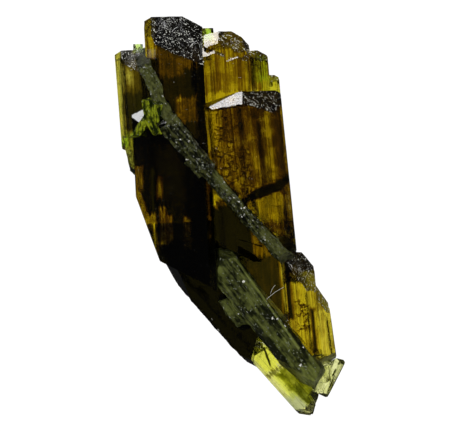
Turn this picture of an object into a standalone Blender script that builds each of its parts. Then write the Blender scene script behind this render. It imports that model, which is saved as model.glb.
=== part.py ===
"""An epidote crystal cluster that lies on its back, seen from above.

X runs to the right, Y along the long crystals to their heads, and Z up from the surface that
the cluster lies on. Dimensions are in millimetres until a mesh is written, and the origin is
under the middle of the cluster. Every crystal is a block cut by flat faces: the sides of its
prism, given by their angle round the axis and their distance from it, and the facets at its
two ends. Crystals that grew through each other are joined, and one that grew against
another keeps a small gap to it.
"""

import math
import random
from collections.abc import Callable
from dataclasses import dataclass, replace

import bmesh
import bpy
from mathutils import Matrix, Vector

MM = 0.001
GAP = 0.3
BLOCK = 90.0
ON_PLANE = 1e-6

# Edges shorter than this are merged away.
SLIVER = 0.002

# A rib's left and right edges as shares of its pitch, its height as a share of the most, how far
# short of the head it stops, and how far under the side it is rooted.
RIB_LEFT = (0.08, 0.3)
RIB_RIGHT = (0.6, 0.92)
RIB_HEIGHT = (0.4, 1.0)
RIB_SHORT = (0.15, 0.9)
RIB_ROOT = 1.0

CLUSTER = "epidote_cluster"
CUTTERS = "epidote_cutters"

# The upper crystals grew parallel, so their heads share these facets.
ETCHED = (0.30, 0.70, 0.65)
MIRROR = (-0.25, 0.70, 0.67)
FLANK = (-0.80, 0.45, 0.40)
REAR_LEFT = (-0.13, 0.70, -0.22)
REAR_RIGHT = (0.377, 0.70, -0.22)

# The undercut at the head of the black prism and of the lower right crystal, and the rough slope
# over the latter.
UNDERCUT = (-0.476, 0.70, -0.60)
SLOPED = (0.62, 0.47, 0.63)

# The blade that crosses the front is bent twice. Its middle line, with the height of its front
# along each run, its width, its back and how much lower that lies on each next run, and how far
# its runs pass each other at a bend.
BLADE_LINE = ((-8.3, 15.0), (-5.7, 8.8), (-2.55, 4.8), (5.35, -3.85))
BLADE_FRONTS = (8.9, 10.1, 10.2)
BLADE_WIDTHS = (1.2, 2.1, 1.25)
BLADE_BACK = 2.4
BLADE_DROP = 0.2
BLADE_LAP = 0.45


@dataclass(frozen=True)
class Crystal:
    """A prism: a point on its axis, its lean, the sides round it and the facets at its ends.

    lean is the angle in degrees that the head leans to -X, and dip the angle that it leans up.
    sides are (angle, distance) pairs, with angle 0 to the right and 90 up.
    ends are (normal, point) pairs.
    """

    at: tuple
    lean: float
    sides: tuple
    ends: tuple
    dip: float = 0.0

    def frame(self):
        """The right, axis and up directions of the prism."""
        turn = Matrix.Rotation(math.radians(self.lean), 3, "Z")
        turn = turn @ Matrix.Rotation(math.radians(self.dip), 3, "X")
        return turn.col[0].copy(), turn.col[1].copy(), turn.col[2].copy()

    def planes(self, grow=0.0):
        """Every face as a point and a normal, moved out by grow."""
        right, _, up = self.frame()
        centre = Vector(self.at)
        for angle, distance in self.sides:
            turn = math.radians(angle)
            normal = right * math.cos(turn) + up * math.sin(turn)
            yield centre + normal * (distance + grow), normal
        for direction, point in self.ends:
            normal = Vector(direction).normalized()
            yield Vector(point) + normal * grow, normal


def cut_block(planes):
    """A bmesh of the block that is left inside all the planes."""
    shape = bmesh.new()
    bmesh.ops.create_cube(shape, size=BLOCK)
    for point, normal in planes:
        cut = bmesh.ops.bisect_plane(
            shape,
            geom=shape.verts[:] + shape.edges[:] + shape.faces[:],
            dist=ON_PLANE,
            plane_co=point,
            plane_no=normal,
            clear_outer=True,
        )
        rim = [item for item in cut["geom_cut"] if isinstance(item, bmesh.types.BMEdge)]
        if rim:
            bmesh.ops.edgeloop_fill(shape, edges=rim)
    bmesh.ops.remove_doubles(shape, verts=shape.verts[:], dist=SLIVER)
    bmesh.ops.dissolve_degenerate(shape, edges=shape.edges[:], dist=SLIVER)
    bmesh.ops.recalc_face_normals(shape, faces=shape.faces[:])
    return shape


def crystal_object(name, crystal, grow=0.0):
    """An object of the crystal's shape, with its place in its mesh."""
    shape = cut_block(crystal.planes(grow))
    bmesh.ops.transform(shape, matrix=Matrix.Scale(MM, 4), verts=shape.verts[:])
    mesh = bpy.data.meshes.new(name)
    shape.to_mesh(mesh)
    shape.free()
    return bpy.data.objects.new(name, mesh)


def through(point, normal, x, y):
    """The point above (x, y) on the plane through a point."""
    height = point[2] - (normal[0] * (x - point[0]) + normal[1] * (y - point[1])) / normal[2]
    return (x, y, height)


def head(etched, front, crest, mirror=None, right_from=None, flank=None):
    """The facets of an upper crystal's head.

    etched and mirror are where those facets cross the front at height front, crest is where
    the etched facet meets the rear left one, right_from where the rear right one starts, and
    flank a point that the left facet passes through.
    """
    start = (etched[0], etched[1], front)
    facets = [(ETCHED, start), (REAR_LEFT, through(start, ETCHED, *crest))]
    if mirror:
        facets.append((MIRROR, (mirror[0], mirror[1], front)))
    if right_from:
        facets.append((REAR_RIGHT, through(start, ETCHED, *right_from)))
    if flank:
        facets.append((FLANK, flank))
    return tuple(facets)


def side_span(crystal, angle):
    """Where the side at angle starts and ends, as offsets from its middle line."""
    distances = dict(crystal.sides)
    angles = sorted(distances)
    place = angles.index(angle)
    before = angles[place - 1] - (360 if place == 0 else 0)
    after = angles[(place + 1) % len(angles)] + (360 if place == len(angles) - 1 else 0)
    offsets = []
    for other in (after, before):
        turn = math.radians(other - angle)
        meet = (distances[other % 360] - distances[angle] * math.cos(turn)) / math.sin(turn)
        offsets.append(-meet)
    return offsets


def steps(crystal, angle, count, rise, seed):
    """Growth steps: narrow ribs that stand proud of the side at angle.

    Each rib keeps the crystal's faces, ends a little short of its head and foot, and rises
    above the side by up to rise.
    """
    chance = random.Random(seed)
    distance = dict(crystal.sides)[angle]
    start, end = side_span(crystal, angle)
    pitch = (end - start) / count
    ribs = []
    for index in range(count):
        left = start + pitch * (index + chance.uniform(*RIB_LEFT))
        right = start + pitch * (index + chance.uniform(*RIB_RIGHT))
        height = rise * chance.uniform(*RIB_HEIGHT)
        short = chance.uniform(*RIB_SHORT)
        ends = []
        for direction, point in crystal.ends:
            normal = Vector(direction).normalized()
            ends.append((direction, tuple(Vector(point) - normal * short)))
        sides = (
            (angle, distance + height),
            (angle - 90, right),
            (angle + 90, -left),
            (angle + 180, RIB_ROOT - distance),
        )
        ribs.append(replace(crystal, sides=sides, ends=tuple(ends)))
    return ribs


def ribbed(crystal, counts, rise, seed):
    """Growth steps on several sides of a crystal, from the number of ribs on each."""
    ribs = []
    for angle, count in counts.items():
        ribs += steps(crystal, angle, count, rise, seed + angle)
    return ribs


def broken(direction, point, seed, count=4, spread=0.45, depth=0.5):
    """The flat breaks that end a crystal: faces spread round one direction."""
    chance = random.Random(seed)
    outward = Vector(direction).normalized()
    faces = []
    for _ in range(count):
        tilt = Vector([chance.uniform(-spread, spread) for _ in range(3)])
        inset = chance.uniform(0.0, depth)
        faces.append((tuple(outward + tilt), tuple(Vector(point) - outward * inset)))
    return tuple(faces)


def tall_prism():
    """The tallest crystal: a long prism with a dark etched head, its back on the surface."""
    front = 8.2
    body = Crystal(
        at=(-5.4, 16.6, 4.1),
        lean=3.0,
        sides=((0, 2.85), (90, 4.1), (155, 3.45), (180, 2.9), (225, 4.5), (270, 4.1), (320, 4.1)),
        ends=head(
            (-4.95, 16.0), front, (-5.3, 19.95), right_from=(-4.3, 19.75), flank=(-8.35, 19.75, 4.3)
        )
        + broken((0.25, -1.0, 0.15), (-4.6, -2.0, 1.0), 52),
    )
    return [body] + ribbed(body, {90: 5, 155: 2}, 0.2, 3)


def left_prism():
    """The short crystal on the left edge, with one grown through its top and one at its foot."""
    body = Crystal(
        at=(-9.85, 14.6, 3.6),
        lean=4.4,
        sides=((0, 1.7), (90, 2.8), (150, 1.8), (180, 1.4), (225, 2.75), (270, 2.8), (315, 2.7)),
        ends=head((-9.45, 14.6), 6.4, (-9.45, 16.55), flank=(-11.5, 16.1, 4.0))
        + (((-0.35, -0.93, 0.1), (-10.7, 7.0, 3.6)), ((-0.8, -0.55, 0.2), (-10.9, 7.3, 3.6))),
    )
    behind = Crystal(
        at=(-8.95, 14.6, 2.7),
        lean=3.4,
        sides=((0, 0.5), (60, 1.05), (120, 0.95), (180, 0.45), (240, 1.0), (300, 1.1)),
        ends=head((-8.95, 15.9), 3.9, (-8.8, 17.25)) + (((-0.3, -1.0, 0.0), (-9.1, 5.0, 2.7)),),
    )
    foot = Crystal(
        at=(-9.45, 6.0, 4.4),
        lean=12.0,
        sides=((0, 0.8), (90, 1.5), (150, 1.15), (180, 0.7), (230, 1.2), (270, 1.5)),
        ends=(((0.0, 1.0, 0.2), (-9.8, 8.0, 4.4)), ((-0.9, -0.8, 0.1), (-9.6, 4.7, 4.4))),
    )
    return [body, behind, foot] + ribbed(body, {90: 2, 150: 1, 270: 3}, 0.18, 5)


def right_prisms():
    """The stepped group right of the seam: six parallel crystals, one in the seam and a tip."""
    foot_step = 0.37
    feet = [
        broken((-0.15, -1.0, 0.1), (1.0, -4.9 + foot_step * number, 3.0), 53 + number)
        for number in range(3)
    ]
    broad = Crystal(
        at=(-0.3, 16.6, 3.7),
        lean=4.2,
        sides=((0, 2.35), (45, 3.55), (90, 3.5), (140, 3.7), (180, 2.1), (225, 3.6), (270, 3.7), (315, 3.9)),
        ends=head((0.5, 16.5), 7.2, (0.3, 18.42), mirror=(-1.3, 17.1), right_from=(0.4, 18.35))
        + (((0.85, 0.45, 0.2), (1.8, 17.0, 5.0)),)
        + feet[0],
    )
    second = Crystal(
        at=(-1.35, 15.2, 4.6),
        lean=4.2,
        sides=((0, 1.0), (90, 2.9), (180, 1.15), (270, 3.9)),
        ends=head((-0.4, 15.75), 7.5, (-0.6, 17.0), mirror=(-1.4, 16.2)) + feet[1],
    )
    third = Crystal(
        at=(0.75, 14.9, 4.4),
        lean=4.2,
        sides=((0, 1.3), (90, 3.0), (180, 0.95), (270, 3.6)),
        ends=head((1.3, 15.6), 7.4, (1.2, 16.6), mirror=(0.5, 15.6)) + feet[2],
    )
    outer = Crystal(
        at=(2.45, 15.0, 3.5),
        lean=4.6,
        sides=((0, 1.5), (50, 2.6), (90, 2.7), (180, 1.4), (230, 2.3), (270, 3.1), (320, 2.8)),
        ends=head((2.9, 15.5), 6.2, (2.4, 16.5), mirror=(1.8, 15.9), right_from=(3.3, 16.3))
        + (((0.3, -1.0, 0.1), (3.6, 1.0, 3.0)),),
    )
    edge = Crystal(
        at=(4.15, 13.0, 3.0),
        lean=5.4,
        sides=((0, 0.95), (55, 1.9), (90, 2.1), (180, 1.2), (250, 2.2), (300, 2.2)),
        ends=head((4.2, 13.5), 5.1, (4.3, 14.1), right_from=(4.6, 14.1))
        + (((0.3, -1.0, 0.2), (4.9, 4.0, 3.0)),),
    )
    tip = Crystal(
        at=(-2.05, 17.0, 2.4),
        lean=3.0,
        sides=((0, 0.6), (60, 1.3), (120, 1.3), (180, 0.5), (240, 1.2), (300, 1.2)),
        ends=head((-1.9, 17.6), 3.8, (-1.95, 18.85)) + (((0.0, -1.0, 0.0), (-2.0, 10.0, 2.4)),),
    )
    seam = Crystal(
        at=(-1.95, 6.0, 3.4),
        lean=3.6,
        sides=((0, 0.75), (90, 3.2), (180, 0.75), (270, 3.4)),
        ends=(((0.0, 1.0, 0.2), (-2.4, 15.0, 3.4)),) + feet[1],
    )
    low = Crystal(
        at=(3.0, 0.0, 2.9),
        lean=4.6,
        sides=((0, 2.35), (60, 2.9), (90, 2.3), (120, 2.9), (180, 2.2), (225, 2.6), (270, 2.2), (315, 2.6)),
        ends=(
            ((0.1, 1.0, 0.2), (2.6, 5.0, 2.9)),
            ((-0.55, -0.83, 0.1), (5.6, -10.9, 3.0)),
            ((0.3, -1.0, 0.2), (5.2, -10.2, 3.0)),
        ),
    )
    ribs = ribbed(broad, {45: 2, 90: 2}, 0.14, 7) + ribbed(outer, {50: 1, 90: 2, 320: 2}, 0.14, 8)
    ribs += ribbed(edge, {55: 1, 300: 1}, 0.12, 9) + ribbed(low, {90: 2, 270: 2}, 0.14, 10)
    return [broad, second, third, outer, edge, tip, seam, low] + ribs


def blade_run(number):
    """One straight run of the blade, between two points of its middle line."""
    start = Vector(BLADE_LINE[number])
    end = Vector(BLADE_LINE[number + 1])
    along = (start - end).normalized()
    if number:
        start += along * BLADE_LAP
    if number < len(BLADE_FRONTS) - 1:
        end -= along * BLADE_LAP
    middle = (start + end) / 2
    front = BLADE_FRONTS[number]
    half = BLADE_WIDTHS[number] / 2
    depth = (front - BLADE_BACK - BLADE_DROP * number) / 2
    return Crystal(
        at=(middle.x, middle.y, front - depth),
        lean=math.degrees(math.atan2(-along.x, along.y)),
        sides=((0, half), (70, depth - 0.05), (115, depth + 0.02), (180, half), (240, depth), (270, depth)),
        ends=(
            ((along.x, along.y, 0.25), (start.x, start.y, front)),
            ((-along.x, -along.y, 0.3), (end.x, end.y, front)),
        ),
    )


def cross_blade():
    """The thin speckled blade, of three runs that meet at its bends."""
    runs = [blade_run(number) for number in range(len(BLADE_FRONTS))]
    ribs = []
    for number, run in enumerate(runs):
        ribs += steps(run, 70, 1, 0.14, 40 + number)
    return runs + ribs


def blade_face(first, last, side, offset):
    """A face along the blade's line between two of its points, offset to one side of it.

    side is 1 above the line and -1 below it.
    """
    start = Vector(BLADE_LINE[first])
    run = (Vector(BLADE_LINE[last]) - start).normalized()
    away = Vector((-run.y, run.x)) * side
    point = start + away * offset
    return ((-away.x, -away.y, 0.0), (point.x, point.y, 6.0))


def amber_prism():
    """The large clear crystal at the front right, its foot cut off by the blade.

    A steep facet left of its mirror bright one narrows that to a leaf.
    """
    body = Crystal(
        at=(1.65, 10.6, 7.4),
        lean=5.8,
        sides=(
            (0, 3.65),
            (38, 3.81),
            (80, 3.1),
            (102, 3.19),
            (150, 4.2),
            (180, 4.0),
            (270, 3.1),
            (320, 4.15),
        ),
        ends=head((1.35, 11.1), 10.6, (1.35, 12.4), mirror=(1.35, 11.1), right_from=(4.2, 12.75))
        + (blade_face(2, 3, 1, BLADE_WIDTHS[2] / 2 + GAP),)
        + broken((0.1, -1.0, 0.25), (6.0, -4.2, 7.0), 51)
        + (((-0.41, 0.88, 0.24), (0.6, 12.17, 9.2)),),
    )
    return [body] + ribbed(body, {80: 4, 38: 2, 320: 3, 270: 5}, 0.2, 11)


def black_prism():
    """The broad black crystal at the front left, cut off by the blade above."""
    body = Crystal(
        at=(-5.85, 2.6, 6.2),
        lean=3.0,
        sides=((0, 4.2), (40, 5.1), (90, 3.8), (140, 3.85), (180, 3.4), (225, 4.3), (270, 3.5), (315, 4.9)),
        ends=(
            blade_face(1, 3, -1, 0.0),
            (MIRROR, (-9.2, 9.9, 8.2)),
            (UNDERCUT, (-9.2, 10.05, 7.6)),
            ((-0.936, -0.351, 0.0), (-8.06, -1.22, 6.0)),
            ((-0.45, -0.89, 0.0), (-6.65, -4.59, 6.0)),
        ),
    )
    return [body] + ribbed(body, {90: 5, 140: 2, 225: 2}, 0.2, 17)


def green_splinters():
    """Four small green crystals in the corner above the black prism, grown through each other."""
    places = (
        (-8.05, 10.6, 9.2, 12.0, 0.46),
        (-7.35, 10.3, 9.4, -14.0, 0.5),
        (-7.75, 9.2, 10.0, 30.0, 0.38),
        (-8.5, 9.2, 9.45, -34.0, 0.38),
    )
    splinters = []
    for x, y, z, lean, half in places:
        splinters.append(
            Crystal(
                at=(x, y, z),
                lean=lean,
                sides=tuple((angle, half * (1.0 if angle % 120 else 1.25)) for angle in range(0, 360, 60)),
                ends=(
                    ((0.3, 1.0, 0.5), (x, y + 1.1, z)),
                    ((-0.6, 0.7, -0.3), (x, y + 1.2, z)),
                    ((0.1, -1.0, 0.3), (x, y - 1.2, z)),
                ),
            )
        )
    return splinters


def dark_root():
    """The dark body below, turned to the lower right, with its own flat back."""
    body = Crystal(
        at=(0.4, -8.4, 3.1),
        lean=41.1,
        sides=(
            (0, 2.5),
            (50, 3.7),
            (90, 3.2),
            (135, 3.85),
            (180, 3.0),
            (215, 3.45),
            (270, 3.1),
            (325, 3.4),
        ),
        ends=(
            ((1.0, -0.3, 0.15), (3.5, -11.8, 3.0)),
            ((-0.45, -1.0, 0.1), (0.5, -14.0, 2.0)),
            ((-0.5, 1.0, 0.2), (-4.6, -2.4, 3.0)),
            ((-0.89, -0.45, 0.15), (-5.5, -5.7, 3.0)),
        ),
    )
    return [body] + ribbed(body, {135: 3, 90: 3, 215: 2}, 0.16, 23)


def frosted_blade():
    """The long grey green blade on the front of the lower part, and the stub beside it."""
    blade = Crystal(
        at=(1.25, -7.1, 6.9),
        lean=38.3,
        sides=(
            (0, 1.5),
            (35, 1.85),
            (85, 1.75),
            (105, 1.8),
            (150, 1.95),
            (180, 1.6),
            (250, 1.5),
            (290, 1.5),
        ),
        ends=(
            ((-1.0, 0.15, 0.2), (-1.35, -6.4, 7.0)),
            ((0.1, 1.0, 0.35), (0.0, -4.2, 8.3)),
            ((-0.12, -0.97, 0.3), (8.1, -16.55, 6.9)),
            ((0.86, -0.5, 0.2), (8.6, -16.4, 6.9)),
            ((-0.55, -0.8, 0.25), (6.8, -15.5, 6.9)),
        ),
        dip=3.5,
    )
    stub = Crystal(
        at=(0.7, -9.5, 6.3),
        lean=33.0,
        sides=((0, 1.0), (60, 1.1), (110, 1.15), (180, 0.75), (230, 1.0), (300, 0.9)),
        ends=(((-0.4, 1.0, 0.2), (0.2, -8.0, 6.3)), ((0.2, -1.0, 0.5), (1.3, -10.8, 6.3))),
    )
    return [blade, stub] + ribbed(blade, {85: 1, 105: 1, 35: 1, 290: 2}, 0.12, 27)


def lower_amber():
    """The amber crystal at the lower right: two prisms and a thin edge that grew as one."""
    main = Crystal(
        at=(7.15, -7.4, 5.3),
        lean=5.5,
        sides=((0, 1.6), (50, 2.7), (90, 3.0), (115, 2.9), (180, 1.45), (235, 2.4), (270, 2.9), (320, 2.6)),
        ends=(
            (SLOPED, (7.3, -6.8, 8.2)),
            (UNDERCUT, (6.9, -4.0, 5.85)),
            ((0.7, 0.6, -0.35), (8.1, -4.7, 5.6)),
            ((-0.7, -0.55, 0.45), (7.7, -12.7, 8.3)),
            ((0.2, -1.0, 0.2), (8.8, -14.3, 5.0)),
        ),
    )
    side = Crystal(
        at=(9.4, -10.6, 4.5),
        lean=8.0,
        sides=((0, 0.85), (45, 1.8), (90, 2.0), (180, 1.5), (240, 1.9), (270, 2.2), (320, 1.75)),
        ends=(
            (SLOPED, (9.6, -9.4, 6.5)),
            ((0.8, 0.55, -0.3), (9.0, -7.85, 4.6)),
            ((0.5, -1.0, 0.2), (10.3, -14.0, 4.5)),
        ),
    )
    sliver = Crystal(
        at=(5.72, -7.2, 7.6),
        lean=5.0,
        sides=((0, 0.3), (60, 0.4), (120, 0.3), (180, 0.24), (270, 0.5)),
        ends=(((0.0, 1.0, 0.4), (5.5, -4.6, 7.6)), ((0.0, -1.0, 0.4), (5.9, -9.6, 7.6))),
    )
    ribs = ribbed(main, {115: 2, 50: 2, 270: 2}, 0.15, 29) + ribbed(side, {45: 2}, 0.12, 30)
    return [main, side, sliver] + ribs


def tip_crystals():
    """The yellow green crystals that end the cluster, three grown through each other."""
    long_tip = Crystal(
        at=(5.65, -16.0, 2.7),
        lean=41.8,
        sides=(
            (0, 1.25),
            (55, 1.9),
            (95, 1.9),
            (145, 1.9),
            (180, 1.5),
            (235, 2.3),
            (270, 2.1),
            (310, 2.2),
        ),
        ends=(
            ((0.9, -0.4, 0.25), (8.4, -19.0, 1.6)),
            ((-0.1, -1.0, 0.15), (7.4, -19.9, 0.9)),
            ((-0.6, 1.0, 0.2), (3.3, -13.2, 2.7)),
        ),
    )
    upper_tip = Crystal(
        at=(4.2, -14.2, 2.9),
        lean=58.0,
        sides=((0, 0.85), (50, 1.2), (100, 1.25), (180, 0.95), (230, 1.7), (270, 1.5), (310, 1.7)),
        ends=(((-1.0, 0.1, 0.2), (3.15, -14.0, 2.9)), ((1.0, -0.4, 0.3), (6.3, -15.4, 2.9))),
    )
    end_tip = Crystal(
        at=(7.35, -17.9, 3.6),
        lean=30.0,
        sides=((0, 0.7), (60, 0.95), (120, 1.0), (180, 0.9), (240, 1.4), (300, 1.4)),
        ends=(
            ((0.9, -0.4, 0.3), (8.5, -18.6, 3.6)),
            ((-0.1, -1.0, 0.2), (7.6, -19.5, 3.6)),
            ((-0.3, 1.0, 0.3), (6.9, -16.4, 3.6)),
        ),
    )
    return [long_tip, upper_tip, end_tip] + ribbed(long_tip, {95: 2, 145: 1, 270: 2}, 0.12, 33)


def pale_chips():
    """The pale clear chips at the lower right edge, grown through each other."""
    places = (
        ((10.25, -16.15, 2.6), -27.0, 0.6, 2.05),
        ((9.4, -16.3, 2.2), -12.0, 0.6, 1.5),
        ((9.75, -15.3, 3.1), 14.0, 0.6, 1.4),
    )
    chips = []
    turned = 9
    for number, (centre, lean, half, reach) in enumerate(places):
        turn = math.radians(lean)
        axis = Vector((-math.sin(turn), math.cos(turn), 0.0))
        top = Vector(centre) + axis * reach
        bottom = Vector(centre) - axis * reach
        chips.append(
            Crystal(
                at=centre,
                lean=lean,
                sides=tuple(
                    (angle + turned * number, half * (1.5 if angle % 180 else 1.0))
                    for angle in range(0, 360, 60)
                ),
                ends=(
                    ((axis.x + 0.5, axis.y, 0.3), tuple(top)),
                    ((axis.x - 0.7, axis.y, -0.2), tuple(top)),
                    ((0.4 - axis.x, -axis.y, 0.2), tuple(bottom)),
                    ((-0.6 - axis.x, -axis.y, -0.3), tuple(bottom)),
                ),
            )
        )
    return chips


@dataclass(frozen=True)
class Piece:
    """A node: its name, the crystals joined in it, and its look."""

    name: str
    crystals: Callable
    colour: tuple
    roughness: float


# Each piece is cut back from all the pieces before it.
PIECES = (
    Piece("cross_blade", cross_blade, (0.10, 0.12, 0.06), 0.45),
    Piece("amber_prism", amber_prism, (0.42, 0.22, 0.02), 0.12),
    Piece("black_prism", black_prism, (0.02, 0.018, 0.01), 0.15),
    Piece("tall_prism", tall_prism, (0.16, 0.09, 0.02), 0.15),
    Piece("right_prisms", right_prisms, (0.30, 0.18, 0.02), 0.14),
    Piece("left_prism", left_prism, (0.22, 0.20, 0.04), 0.16),
    Piece("green_splinters", green_splinters, (0.25, 0.35, 0.05), 0.2),
    Piece("frosted_blade", frosted_blade, (0.16, 0.18, 0.09), 0.4),
    Piece("lower_amber", lower_amber, (0.5, 0.3, 0.03), 0.12),
    Piece("dark_root", dark_root, (0.02, 0.022, 0.015), 0.25),
    Piece("tip_crystals", tip_crystals, (0.38, 0.42, 0.10), 0.16),
    Piece("pale_chips", pale_chips, (0.6, 0.62, 0.4), 0.15),
)


def clear_scene():
    """Remove every object that the scene holds."""
    for item in list(bpy.data.objects):
        bpy.data.objects.remove(item, do_unlink=True)


def new_collection(name):
    """A collection of the scene."""
    collection = bpy.data.collections.new(name)
    bpy.context.scene.collection.children.link(collection)
    return collection


def material(name, colour, roughness):
    """A plain Principled material."""
    surface = bpy.data.materials.new(name)
    surface.use_nodes = True
    shader = surface.node_tree.nodes["Principled BSDF"]
    shader.inputs["Base Color"].default_value = (*colour, 1.0)
    shader.inputs["Roughness"].default_value = roughness
    shader.inputs["Metallic"].default_value = 0.0
    return surface


def hidden(item, collection):
    """Put an operand among the cutters."""
    item.hide_render = True
    item.display_type = "WIRE"
    collection.objects.link(item)
    return item


def combine(target, operand, operation):
    """Join an operand to the target, or cut it away."""
    change = target.modifiers.new(operand.name, "BOOLEAN")
    change.operation = operation
    change.solver = "EXACT"
    change.object = operand


def meets(first, second):
    """Whether the boxes of two unmoved objects meet."""
    for axis in range(3):
        ours = [corner[axis] for corner in first.bound_box]
        theirs = [corner[axis] for corner in second.bound_box]
        if min(ours) > max(theirs) or min(theirs) > max(ours):
            return False
    return True


def centre(nodes, operands):
    """Move every mesh so that the nodes' box stands on the origin, centred over it."""
    bpy.context.view_layer.update()
    graph = bpy.context.evaluated_depsgraph_get()
    corners = [Vector(corner) for node in nodes for corner in node.evaluated_get(graph).bound_box]
    low = Vector([min(corner[axis] for corner in corners) for axis in range(3)])
    high = Vector([max(corner[axis] for corner in corners) for axis in range(3)])
    middle = (low + high) / 2
    shift = Matrix.Translation((-middle.x, -middle.y, -low.z))
    for item in nodes + operands:
        item.data.transform(shift)


def build():
    """Make every piece, each joined from its crystals and cut back from the ones before it."""
    cluster = new_collection(CLUSTER)
    cutters = new_collection(CUTTERS)
    nodes = []
    grown = []
    rooms = []
    for piece in PIECES:
        crystals = piece.crystals()
        node = crystal_object(piece.name, crystals[0])
        node.data.materials.append(material(piece.name, piece.colour, piece.roughness))
        cluster.objects.link(node)
        nodes.append(node)
        members = [node]
        for number, crystal in enumerate(crystals[1:]):
            operand = hidden(crystal_object(f"{piece.name}_grown_{number}", crystal), cutters)
            combine(node, operand, "UNION")
            members.append(operand)
        grown += members[1:]
        for room in rooms:
            if any(meets(item, room) for item in members):
                combine(node, room, "DIFFERENCE")
        for number, crystal in enumerate(crystals):
            room = crystal_object(f"{piece.name}_room_{number}", crystal, GAP)
            rooms.append(hidden(room, cutters))
    centre(nodes, grown + rooms)


clear_scene()
build()
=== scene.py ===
"""Looks of an epidote crystal cluster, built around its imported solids.

The cluster lies on its back and the camera looks down on it. Every crystal of the solids is
worked out again with the fine striae of its sides, the etched and mirror bright facets of its
head and the rough breaks of its foot. Dimensions are in millimetres until a mesh is written.
"""

import logging
import math
from dataclasses import dataclass
from enum import Enum

import bmesh
import bpy
import numpy as np
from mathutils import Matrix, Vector


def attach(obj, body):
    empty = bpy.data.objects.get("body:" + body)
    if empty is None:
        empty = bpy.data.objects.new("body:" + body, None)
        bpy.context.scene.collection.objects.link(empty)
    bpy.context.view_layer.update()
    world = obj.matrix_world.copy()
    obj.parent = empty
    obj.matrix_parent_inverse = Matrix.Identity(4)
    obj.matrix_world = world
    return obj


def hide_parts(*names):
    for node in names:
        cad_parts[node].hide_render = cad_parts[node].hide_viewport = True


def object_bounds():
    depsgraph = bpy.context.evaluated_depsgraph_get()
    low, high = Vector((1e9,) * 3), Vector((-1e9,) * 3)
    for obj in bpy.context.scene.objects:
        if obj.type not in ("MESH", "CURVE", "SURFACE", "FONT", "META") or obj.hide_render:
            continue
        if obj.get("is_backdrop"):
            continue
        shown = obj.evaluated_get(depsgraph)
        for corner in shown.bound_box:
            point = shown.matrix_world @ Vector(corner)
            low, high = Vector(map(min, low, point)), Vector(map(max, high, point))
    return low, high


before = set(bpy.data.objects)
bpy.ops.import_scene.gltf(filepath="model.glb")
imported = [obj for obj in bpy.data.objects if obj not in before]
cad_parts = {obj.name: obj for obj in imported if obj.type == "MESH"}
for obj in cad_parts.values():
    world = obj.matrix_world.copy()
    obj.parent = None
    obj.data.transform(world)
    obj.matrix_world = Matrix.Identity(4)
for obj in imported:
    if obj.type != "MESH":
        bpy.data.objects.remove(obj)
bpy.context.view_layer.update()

MM = 0.001
BODY = "root"

# How far the drawing, in which every crystal is placed, is moved to stand in the frame.
DRAWING_SHIFT = np.array((-0.1597, 0.0298, 0.0))

# A pixel of the photograph, and the pixel that the drawing's origin lies on.
PIXEL = 0.1
ORIGIN_PIXEL = (228.5, 216.0)
PHOTO_SIZE = (475, 432)

# The upper crystals grew parallel, so their heads share these facets.
ETCHED = (0.30, 0.70, 0.65)
MIRROR = (-0.25, 0.70, 0.67)
FLANK = (-0.80, 0.45, 0.40)
REAR_LEFT = (-0.13, 0.70, -0.22)
REAR_RIGHT = (0.377, 0.70, -0.22)

# The undercut at the head of the black prism and of the lower right crystal, and the rough slope
# over the latter.
UNDERCUT = (-0.476, 0.70, -0.60)
SLOPED = (0.62, 0.47, 0.63)

# Half of the hairline left where two crystals grew against each other.
CONTACT = 0.008
SHARP_ANGLE = math.radians(22.0)

# Epidote's index of refraction, and the depth of the finest relief of its surfaces.
EPIDOTE_IOR = 1.74
SKIN_DEPTH = 0.05

# How far a prism's sides run past its facets, and a facet's plane past the sides.
OVERRUN = 0.6
# The flat far end of what a facet cuts away, as a distance along the axis.
FAR_END = 60.0
# How far the inner points of a rough facet are moved about, as a share of a mesh cell.
SCATTER = 0.35
# A strip's edge lies this far in from its neighbour's, and its relief fades near a corner.
STRIP_EDGE = 0.012
CORNER_FADE = 0.12
# How far a strip's height wanders from one outline to the next, as a share of its own height.
STRIP_DRIFT = 0.12
# The sine under which two sides count as parallel, and the narrowest side that is kept.
PARALLEL = 1e-6
LEAST_SIDE = 1e-4
# Cells along a side of the noise's lattice, after which it repeats.
LATTICE = 64

log = logging.getLogger("epidote")

Numbers = np.ndarray
Point = tuple[float, float, float]


class Face(Enum):
    """What a facet's surface is like. The value is its material slot on the piece."""

    SMOOTH = 0
    ETCHED = 1
    MIRROR = 2
    BROKEN = 3
    GLINT = 4


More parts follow.
